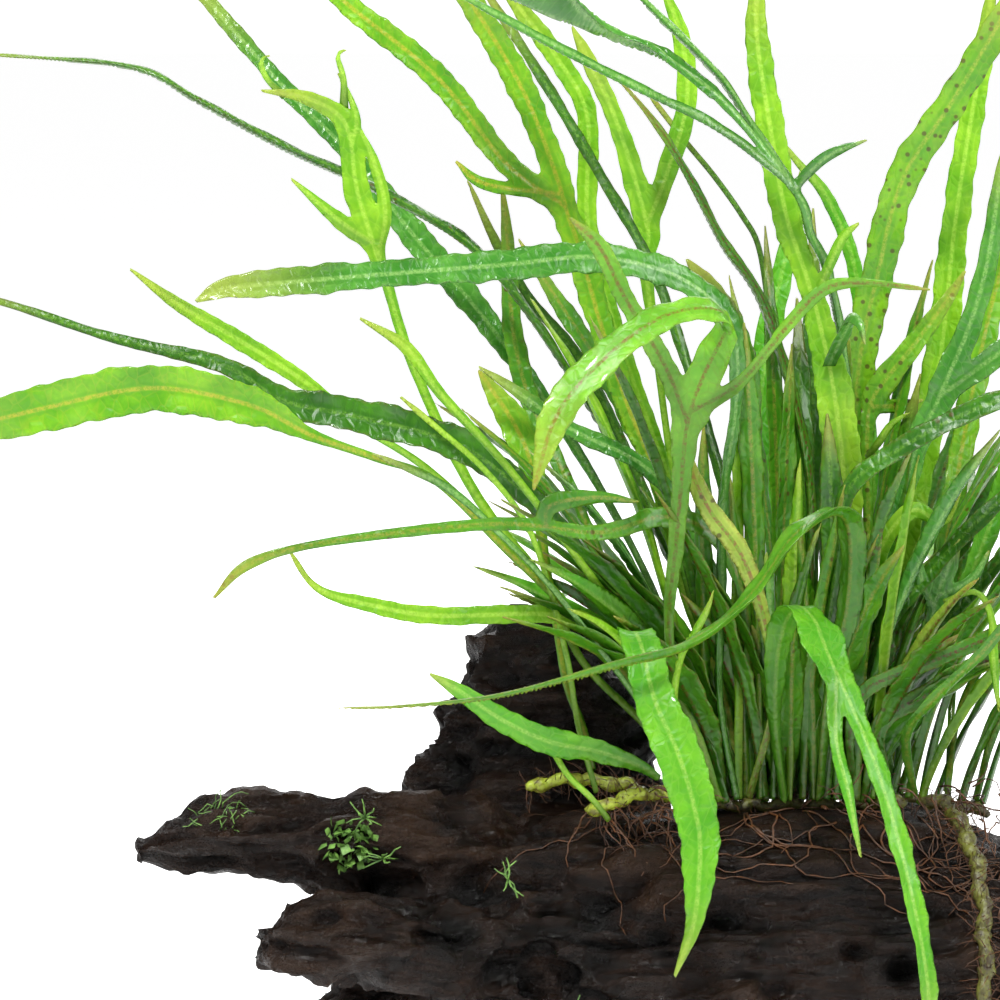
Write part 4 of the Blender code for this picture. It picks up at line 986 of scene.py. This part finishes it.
def new_piece(name, mesh, material, replaces=()):
    """The mesh as a shaded piece that rides on the root and stands for the named nodes."""
    made = bpy.data.objects.new(name, mesh)
    bpy.context.scene.collection.objects.link(made)
    mesh.materials.clear()
    mesh.materials.append(material)
    mesh.shade_smooth()
    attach(made, "root")
    for node in replaces:
        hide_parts(node)
    return made


def node_build(names, grow):
    """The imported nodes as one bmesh, each grown outwards a little so that they meet."""
    build = bmesh.new()
    for name in names:
        part = bmesh.new()
        part.from_mesh(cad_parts[name].data)
        bmesh.ops.remove_doubles(part, verts=part.verts, dist=0.01 * MM)
        bmesh.ops.recalc_face_normals(part, faces=part.faces)
        part.normal_update()
        for vertex in part.verts:
            vertex.co += vertex.normal * grow
        held = bpy.data.meshes.new("part")
        part.to_mesh(held)
        part.free()
        build.from_mesh(held)
        bpy.data.meshes.remove(held)
    return build


def remeshed(build, cell):
    """The bmesh as one closed skin of even facets."""
    mesh = bpy.data.meshes.new("skin")
    build.to_mesh(mesh)
    build.free()
    holder = bpy.data.objects.new("skin", mesh)
    bpy.context.scene.collection.objects.link(holder)
    grown = holder.modifiers.new("Grow", "REMESH")
    grown.mode = "VOXEL"
    grown.voxel_size = cell
    softened = holder.modifiers.new("Soften", "SMOOTH")
    softened.iterations = SOFTENING
    result = bpy.data.meshes.new_from_object(holder.evaluated_get(bpy.context.evaluated_depsgraph_get()))
    bpy.data.objects.remove(holder)
    return result


def weathering(spot):
    """How far the wood stands out from its smooth shape at a point, in mm."""
    x, y, z = spot
    swell = noise.fractal(Vector((x / 30, y / 24, z / 20)), 0.8, 2.2, 3) * 3.4
    bent = 5 * noise.noise(Vector((x / 22, y / 30, z / 30)))
    drawn = Vector((x / 38, (y + bent) / 4.4, (z + bent) / 4.4))
    grain = (0.34 - abs(noise.noise(drawn))) * 4.2 + (0.3 - abs(noise.noise(drawn * 2.1))) * 1.7
    grooves = 0.75 - abs(noise.noise(Vector((x / 34, y / 8, z / 8)))) * 3.6
    coarse = (0.5 - abs(noise.noise(Vector((x / 13 + 7, y / 8, z / 7))))) * 2.6
    splinter = noise.fractal(Vector((x / 7, y / 1.9, z / 1.9)), 0.6, 2.1, 3) * 0.6
    cell = noise.voronoi(Vector((x / 12, y / 9, z / 8)))[0][0]
    pit = -4.2 * max(0.0, 1 - cell / 0.3) ** 0.7
    lower = min(1.0, max(0.0, (46 - z) / 8))
    return swell + grooves + coarse + grain + splinter + pit * lower * min(1.0, max(0.0, -y / 8))


def wood_mesh(cell):
    """The limbs as one weathered skin with a flat underside. The crown, where the plants sit, is smoother."""
    mesh = remeshed(node_build(WOOD_NODES, LIMB_GROWTH * MM), cell)
    places = np.zeros(len(mesh.vertices) * 3)
    mesh.vertices.foreach_get("co", places)
    places = places.reshape(-1, 3) / MM
    ways = np.array([tuple(vertex.normal) for vertex in mesh.vertices])
    bare = np.array([weathering(place) for place in places])
    from_crown = (places[:, :2] - CROWN) / CROWN_REACH
    crown = np.clip(1.4 - np.hypot(from_crown[:, 0], from_crown[:, 1]), 0, 1)
    crown *= np.clip((places[:, 2] - CROWN_FOOT) / 7, 0, 1)
    out = bare * (1 - crown) + crown * np.clip(bare * 0.3 + 2.5, 1.3, 3.6)
    tight = np.clip((places[:, 0] - ARM_END) / 12, 0.35, 1)
    arm = np.clip((ARM_FOOT - places[:, 0]) / 10, 0, 1)
    out = out * tight - 0.6 - (1 + 1.4 * (ways[:, 2] > 0.3)) * arm
    moved = places + ways * out[:, None]
    moved[:, 2] = np.where(places[:, 2] < UNDERSIDE, 0, np.maximum(moved[:, 2], 0))
    mesh.vertices.foreach_set("co", (moved * MM).ravel())
    # The relief's height above its broad swell, kept as crest: the bogwood paints shade into its hollows and
    # lighter brown, partly painted light, onto its ridges.
    broad = np.array([noise.fractal(Vector(place / 22), 0.8, 2.2, 2) * 2.5 for place in places])
    mesh.attributes.new("crest", "FLOAT", "POINT").data.foreach_set("value", bare - broad)
    mesh.update()
    return mesh


def tube_faces(rings, sides, start):
    """Quads around a run of rings, and a fan at each end."""
    faces = []
    for ring in range(rings - 1):
        for side in range(sides):
            a = start + ring * sides + side
            b = start + ring * sides + (side + 1) % sides
            faces.append((a, b, b + sides, a + sides))
    faces.append(tuple(start + side for side in reversed(range(sides))))
    faces.append(tuple(start + (rings - 1) * sides + side for side in range(sides)))
    return faces


def tubes_mesh(name, runs, sides):
    """Tubes along runs of (x, y, z, radius) in mm as one mesh."""
    places = []
    faces = []
    for run in runs:
        run = np.asarray(run, float)
        tangents = unit(np.gradient(run[:, :3], axis=0))
        normal = np.cross(tangents[0], (0.31, 0.67, 0.22))
        faces += tube_faces(len(run), sides, len(places))
        for station, tangent in zip(run, tangents):
            normal = unit(normal - normal.dot(tangent) * tangent)
            across = np.cross(tangent, normal)
            for side in range(sides):
                angle = 2 * math.pi * side / sides
                spoke = math.cos(angle) * normal + math.sin(angle) * across
                places.append(tuple((station[:3] + spoke * station[3]) * MM))
    mesh = bpy.data.meshes.new(name)
    mesh.from_pydata(places, [], faces)
    return mesh


def rhizome_run(radius, route, seed):
    """A lumpy creeping stem with rounded ends."""
    stations = along_curve([(*point, radius) for point in route])
    fine = np.linspace(0, len(stations) - 1, len(stations) * 2)
    run = np.stack([np.interp(fine, range(len(stations)), column) for column in stations.T], axis=1)
    from_end = np.minimum(fine, len(stations) - 1 - fine) * STEP
    ends = np.sqrt(1 - (1 - np.minimum(from_end / (radius * 1.3), 1)) ** 2)
    lumps = 1 + 0.3 * np.sin(fine * 1.9 + seed) * np.sin(fine * 0.7 + seed * 2)
    run[:, 3] = np.maximum(radius * 0.92 * ends * lumps, 0.12)
    for axis in range(3):
        run[:, axis] += 0.35 * np.sin(fine * (0.8 + 0.27 * axis) + seed * 3 + axis * 2)
    return run


# Scattered growth


def scatter_tree():
    """A node tree that strews an object over a surface: points kept apart, leaning off the surface."""
    tree = bpy.data.node_groups.new("Strew", "GeometryNodeTree")
    face = tree.interface
    face.new_socket("Geometry", in_out="INPUT", socket_type="NodeSocketGeometry")
    for name, kind in (
        ("Piece", "NodeSocketObject"),
        ("Spacing", "NodeSocketFloat"),
        ("Density", "NodeSocketFloat"),
        ("Least", "NodeSocketFloat"),
        ("Most", "NodeSocketFloat"),
        ("Lean", "NodeSocketFloat"),
        ("Seed", "NodeSocketInt"),
        ("Material", "NodeSocketMaterial"),
    ):
        face.new_socket(name, in_out="INPUT", socket_type=kind)
    face.new_socket("Geometry", in_out="OUTPUT", socket_type="NodeSocketGeometry")
    given = tree.nodes.new("NodeGroupInput").outputs
    spread = add(
        tree,
        "GeometryNodeDistributePointsOnFaces",
        {"distribute_method": "POISSON"},
        Mesh=given["Geometry"],
        Distance_Min=given["Spacing"],
        Density_Max=given["Density"],
        Seed=given["Seed"],
    )
    size = add(tree, "FunctionNodeRandomValue", {"data_type": "FLOAT"}, Seed=given["Seed"])
    tree.links.new(given["Least"], size.inputs[2])
    tree.links.new(given["Most"], size.inputs[3])
    lean = add(tree, "FunctionNodeRandomValue", {"data_type": "FLOAT_VECTOR"}, Seed=given["Seed"])
    lean.inputs[0].default_value = (-1, -1, -3.1416)
    lean.inputs[1].default_value = (1, 1, 3.1416)
    eased = add(tree, "ShaderNodeVectorMath", {"operation": "MULTIPLY"}, i0=lean.outputs[0])
    amount = add(tree, "ShaderNodeCombineXYZ", X=given["Lean"], Y=given["Lean"], Z=1.0)
    tree.links.new(amount.outputs[0], eased.inputs[1])
    rotated = add(
        tree, "FunctionNodeRotateRotation", {"rotation_space": "LOCAL"}, i0=spread.outputs["Rotation"]
    )
    turned = add(tree, "FunctionNodeEulerToRotation", i0=eased.outputs[0])
    tree.links.new(turned.outputs[0], rotated.inputs[1])
    shape = add(tree, "GeometryNodeObjectInfo", Object=given["Piece"])
    placed = add(
        tree,
        "GeometryNodeInstanceOnPoints",
        Points=spread.outputs["Points"],
        Instance=shape.outputs["Geometry"],
        Rotation=rotated.outputs[0],
    )
    tree.links.new(size.outputs[1], placed.inputs["Scale"])
    real = add(tree, "GeometryNodeRealizeInstances", Geometry=placed.outputs[0])
    painted = add(tree, "GeometryNodeSetMaterial", Geometry=real.outputs[0], Material=given["Material"])
    result = tree.nodes.new("NodeGroupOutput")
    tree.links.new(painted.outputs[0], result.inputs[0])
    return tree


def strewn(name, surface, shape, material, **settings):
    """The shape strewn over a surface mesh as one plain mesh. Lengths in mm."""
    tree = bpy.data.node_groups.get("Strew") or scatter_tree()
    holder = bpy.data.objects.new(name, surface)
    piece = bpy.data.objects.new(name + "_shape", shape)
    for made in (holder, piece):
        bpy.context.scene.collection.objects.link(made)
    modifier = holder.modifiers.new("Strew", "NODES")
    values = {"Piece": piece, "Material": material, **settings}
    modifier.node_group = tree
    for item in tree.interface.items_tree:
        if item.in_out == "INPUT" and item.name in values:
            modifier[item.identifier] = values[item.name]
    result = bpy.data.meshes.new_from_object(holder.evaluated_get(bpy.context.evaluated_depsgraph_get()))
    result.name = name
    for made in (holder, piece):
        bpy.data.objects.remove(made)
    return result


def patch_of(mesh, keep):
    """The faces of a mesh whose middle, in mm, passes the test."""
    build = bmesh.new()
    build.from_mesh(mesh)
    dropped = [face for face in build.faces if not keep(face.calc_center_median() / MM)]
    bmesh.ops.delete(build, geom=dropped, context="FACES")
    made = bpy.data.meshes.new("patch")
    build.to_mesh(made)
    build.free()
    return made


def creeping_run(tree, start, way, length, radius, rng):
    """A root that creeps over the wood from a point, as (x, y, z, radius) in mm."""
    spot = np.array(start, float)
    way = unit(np.array(way, float))
    run = []
    for index in range(max(4, round(length / CREEP_STEP))):
        hit, normal, *_ = tree.find_nearest(Vector(spot) * MM)
        normal = np.array(normal)
        lift = radius * ROOT_REST + 0.25 * abs(math.sin(index * 0.7))
        spot = np.array(hit) / MM + normal * lift
        run.append((*spot, radius * (1 - 0.6 * index * CREEP_STEP / length)))
        way = unit(way + rng.normal(0, 0.33, 3) + np.array((0, 0, -0.12)))
        way = unit(way - way.dot(normal) * normal)
        spot = spot + way * CREEP_STEP
    return run


def free_run(start, way, length, radius, rng, sag=0.1, wild=0.28):
    """A wiry strand through the air."""
    spot = np.array(start, float)
    way = unit(np.array(way, float))
    run = []
    count = max(4, round(length / AIR_STEP))
    for index in range(count):
        run.append((*spot, radius * (1 - 0.65 * index / count)))
        way = unit(way + rng.normal(0, wild, 3) + np.array((0, 0, -sag)))
        spot = spot + way * AIR_STEP
    return run


# The operators


class FernSettings(bpy.types.PropertyGroup):
    """What a user would change."""

    wood_cell: bpy.props.FloatProperty(
        name="Wood facet", description="Side of one facet of the wood", default=0.9 * MM, unit="LENGTH"
    )
    root_count: bpy.props.IntProperty(
        name="Creeping roots", description="Roots that creep over the front of the wood", default=34, min=0
    )
    backdrop: bpy.props.FloatVectorProperty(
        name="Floor", description="Color of the floor", subtype="COLOR", size=3, default=linear("#fbfbfb")[:3]
    )
    key_power: bpy.props.FloatProperty(
        name="Key light", description="Power of the softbox above", default=7.5, unit="POWER"
    )


def replaced_node(name):
    """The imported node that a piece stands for, if it has one."""
    return (name,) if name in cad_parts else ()


class FernWood(bpy.types.Operator):
    """Grow the driftwood's limbs together and weather them."""

    bl_idname = "fern.wood"
    bl_label = "Driftwood"

    def execute(self, context):
        mesh = wood_mesh(context.scene.fern.wood_cell)
        new_piece("driftwood_whole", mesh, wood_material(), WOOD_NODES)
        return {"FINISHED"}


class FernRhizomes(bpy.types.Operator):
    """Build the creeping stems."""

    bl_idname = "fern.rhizomes"
    bl_label = "Rhizomes"

    def execute(self, context):
        old = root_material("rhizome_old", "#5a5c20", "#2c2210", 0.42)
        fresh = root_material("rhizome_fresh", "#90a02a", "#5c561a", 0.36)
        for index, (name, (radius, route)) in enumerate(RHIZOMES.items()):
            mesh = tubes_mesh(name, [rhizome_run(radius, route, index)], STEM_SIDES)
            skin = fresh if name in ("rhizome_left", "rhizome_front_left") else old
            new_piece(name + "_stem", mesh, skin, (name,))
        return {"FINISHED"}


class FernFronds(bpy.types.Operator):
    """Build every frond."""

    bl_idname = "fern.fronds"
    bl_label = "Fronds"

    def execute(self, context):
        materials = {look: leaf_material("leaf_" + look, leaf) for look, leaf in LEAVES.items()}
        looks = {name: look for look, names in LOOK_OF.items() for name in names.split()}
        small = {"thin_left": "bluish", "thin_right": "dark", "torn_curl": "bluish", "crest_right": "bluish"}
        for frond in (*FRONDS, *SMALL_FRONDS):
            look = looks.get(frond.name) or small.get(frond.name, "bright")
            node = replaced_node(frond.name)
            new_piece(frond.name + "_blade", frond_mesh(frond), materials[look], node)
        for index, shoot in enumerate(SHOOTS + low_shoots()):
            frond = shoot_frond(index, shoot)
            new_piece(frond.name, frond_mesh(frond), materials[shoot[5]])
        return {"FINISHED"}


class FernRoots(bpy.types.Operator):
    """Build the creeping roots, the loose wiry ones and the hairs on the stems."""

    bl_idname = "fern.roots"
    bl_label = "Roots"

    def execute(self, context):
        wood = bpy.data.objects["driftwood_whole"].data
        build = bmesh.new()
        build.from_mesh(wood)
        surface = BVHTree.FromBMesh(build)
        rng = np.random.default_rng(5)
        runs = []
        for _ in range(context.scene.fern.root_count):
            x = rng.choice((rng.uniform(-8, 40), rng.uniform(-32, -18)), p=(0.8, 0.2))
            start = (x, rng.uniform(-12, -2), 52)
            way = (rng.normal(0, 0.5), -1, -0.2)
            runs.append(creeping_run(surface, start, way, rng.uniform(12, 46), rng.uniform(0.13, 0.24), rng))
        build.free()
        skin = root_material("root_skin", "#5a3518", "#2c1a0c", 0.5)
        new_piece("creeping_roots", tubes_mesh("creeping_roots", runs, ROOT_SIDES), skin)
        loose = []
        for _ in range(LOOSE_ROOTS):
            x = rng.choice((rng.uniform(2, 40), rng.uniform(-34, -19)), p=(0.62, 0.38))
            start = (x, rng.uniform(-10, 6) if x > 0 else rng.uniform(-14, -6), rng.uniform(50, 56))
            way = (rng.normal(0.2, 0.8), rng.normal(-0.8, 0.5), rng.normal(0.1, 0.5))
            loose.append(free_run(start, way, rng.uniform(6, 20), rng.uniform(0.13, 0.24), rng, 0.22, 0.34))
        new_piece("loose_roots", tubes_mesh("loose_roots", loose, ROOT_SIDES), skin)
        strand = free_run((0, 0, 0), (0.2, 0, 1), 5, 0.1, rng, 0.05, 0.35)
        hair = tubes_mesh("hair", [strand], HAIR_SIDES)
        stems = bmesh.new()
        for name in RHIZOMES:
            stems.from_mesh(bpy.data.objects[name + "_stem"].data)
        cover = bpy.data.meshes.new("cover")
        stems.to_mesh(cover)
        stems.free()
        fuzz = strewn(
            "stem_hairs", cover, hair, skin,
            Spacing=0.8 * MM, Density=1.2e6, Least=0.5, Most=1.1, Lean=0.6, Seed=3,
        )
        new_piece("stem_hairs", fuzz, skin)
        return {"FINISHED"}


def leaflet(length, width):
    """A small moss leaf in mm, cupped, with its tip up."""
    mesh = bpy.data.meshes.new("leaflet")
    places = [(0, 0, 0), (-width, 0.2, length * 0.45), (width, 0.2, length * 0.45), (0, -0.15, length * 0.5),
              (0, 0.4, length)]
    mesh.from_pydata([tuple(value * MM for value in place) for place in places], [],
                     [(0, 3, 1), (0, 2, 3), (1, 3, 4), (3, 2, 4)])
    return mesh


class FernMoss(bpy.types.Operator):
    """Strew the tufts of moss over the left arm."""

    bl_idname = "fern.moss"
    bl_label = "Moss"

    def execute(self, context):
        wood = bpy.data.objects["driftwood_whole"].data
        skin = root_material("moss_skin", "#6b9440", "#3a5a24", 0.5)
        middle = Vector(MOSS_MIDDLE)
        clump = patch_of(wood, lambda spot: (spot - middle).length < MOSS_RADIUS and spot.y < 0)
        tuft = strewn(
            "moss_clump", clump, leaflet(2.2, 0.9), skin,
            Spacing=0.7 * MM, Density=2e6, Least=0.5, Most=1.2, Lean=1.1, Seed=1,
        )
        new_piece("moss_clump", tuft, skin)
        rng = np.random.default_rng(8)
        runs = []
        for _ in range(MOSS_THREADS):
            start = (rng.uniform(-101, -92), rng.uniform(-9, -5), rng.uniform(48, 52))
            way = (rng.normal(0.3, 1), -0.5, 0.5)
            runs.append(free_run(start, way, rng.uniform(3, 8), 0.13, rng, 0.15, 0.4))
        for spot in TUFTS:
            for _ in range(TUFT_THREADS):
                runs.append(free_run(spot, rng.normal(0, 1, 3), rng.uniform(2, 4), 0.2, rng, 0, 0.3))
        new_piece("moss_threads", tubes_mesh("moss_threads", runs, ROOT_SIDES), skin)
        return {"FINISHED"}


def point_at(item, target):
    item.rotation_euler = (Vector(target) - item.location).to_track_quat("-Z", "Y").to_euler()


def softbox(name, place, target, power, width, height):
    """A rectangular lamp. Lengths in m."""
    lamp = bpy.data.lights.new(name, "AREA")
    lamp.shape = "RECTANGLE"
    lamp.size = width
    lamp.size_y = height
    lamp.energy = power
    made = bpy.data.objects.new(name, lamp)
    made.location = place
    bpy.context.scene.collection.objects.link(made)
    point_at(made, target)


class FernStage(bpy.types.Operator):
    """Set the floor, lights, world and camera."""

    bl_idname = "fern.stage"
    bl_label = "Stage"

    def execute(self, context):
        settings = context.scene.fern
        made, tree, output = new_material("floor_paint")
        paint = add(tree, "ShaderNodeBsdfPrincipled", Base_Color=(*settings.backdrop, 1), Roughness=0.9)
        paint.inputs["Emission Color"].default_value = (1, 1, 1, 1)
        paint.inputs["Emission Strength"].default_value = FLOOR_GLOW
        tree.links.new(paint.outputs[0], output.inputs["Surface"])
        mesh = bpy.data.meshes.new("floor")
        corners = [(x * FLOOR_HALF, y * FLOOR_HALF, 0) for x, y in ((-1, -1), (1, -1), (1, 1), (-1, 1))]
        mesh.from_pydata(corners, [], [(0, 1, 2, 3)])
        mesh.materials.append(made)
        floor = bpy.data.objects.new("floor", mesh)
        context.scene.collection.objects.link(floor)
        for name, (place, target, share, width, height) in LAMPS.items():
            softbox(name, place, target, settings.key_power * share, width, height)
        world = bpy.data.worlds.new("studio")
        context.scene.world = world
        world.use_nodes = True
        sky = world.node_tree.nodes["Background"]
        sky.inputs["Color"].default_value = (1, 1, 1, 1)
        seen_sky = add(world.node_tree, "ShaderNodeLightPath").outputs["Is Camera Ray"]
        glow = add(
            world.node_tree, "ShaderNodeMapRange", Value=seen_sky, To_Min=WORLD_LIGHT, To_Max=WORLD_SEEN
        )
        world.node_tree.links.new(glow.outputs["Result"], sky.inputs["Strength"])
        camera = bpy.data.cameras.new("view")
        camera.sensor_width = 36
        camera.lens = LENS
        camera.clip_start = 0.01
        camera.clip_end = 200
        seen = bpy.data.objects.new("view", camera)
        context.scene.collection.objects.link(seen)
        rise = math.radians(CAMERA_RISE)
        aim = Vector(CAMERA_AIM) * MM
        seen.location = aim + Vector((0, -math.cos(rise), math.sin(rise))) * CAMERA_DISTANCE * MM
        point_at(seen, aim)
        context.scene.camera = seen
        context.scene.view_settings.view_transform = "Standard"
        return {"FINISHED"}


class FernPanel(bpy.types.Panel):
    """Buttons for each group of pieces."""

    bl_idname = "VIEW3D_PT_fern"
    bl_label = "Java fern on driftwood"
    bl_space_type = "VIEW_3D"
    bl_region_type = "UI"
    bl_category = "Fern"

    def draw(self, context):
        for name in ("wood_cell", "root_count", "backdrop", "key_power"):
            self.layout.prop(context.scene.fern, name)
        for operator in OPERATORS:
            self.layout.operator(operator.bl_idname)


OPERATORS = (FernWood, FernRhizomes, FernFronds, FernRoots, FernMoss, FernStage)
CLASSES = (FernSettings, *OPERATORS, FernPanel)


def register():
    for made in CLASSES:
        bpy.utils.register_class(made)
    bpy.types.Scene.fern = bpy.props.PointerProperty(type=FernSettings)


def unregister():
    del bpy.types.Scene.fern
    for made in reversed(CLASSES):
        bpy.utils.unregister_class(made)


def main():
    register()
    bpy.ops.fern.wood()
    bpy.ops.fern.rhizomes()
    bpy.ops.fern.fronds()
    bpy.ops.fern.roots()
    bpy.ops.fern.moss()
    bpy.ops.fern.stage()


if __name__ == "__main__":
    main()
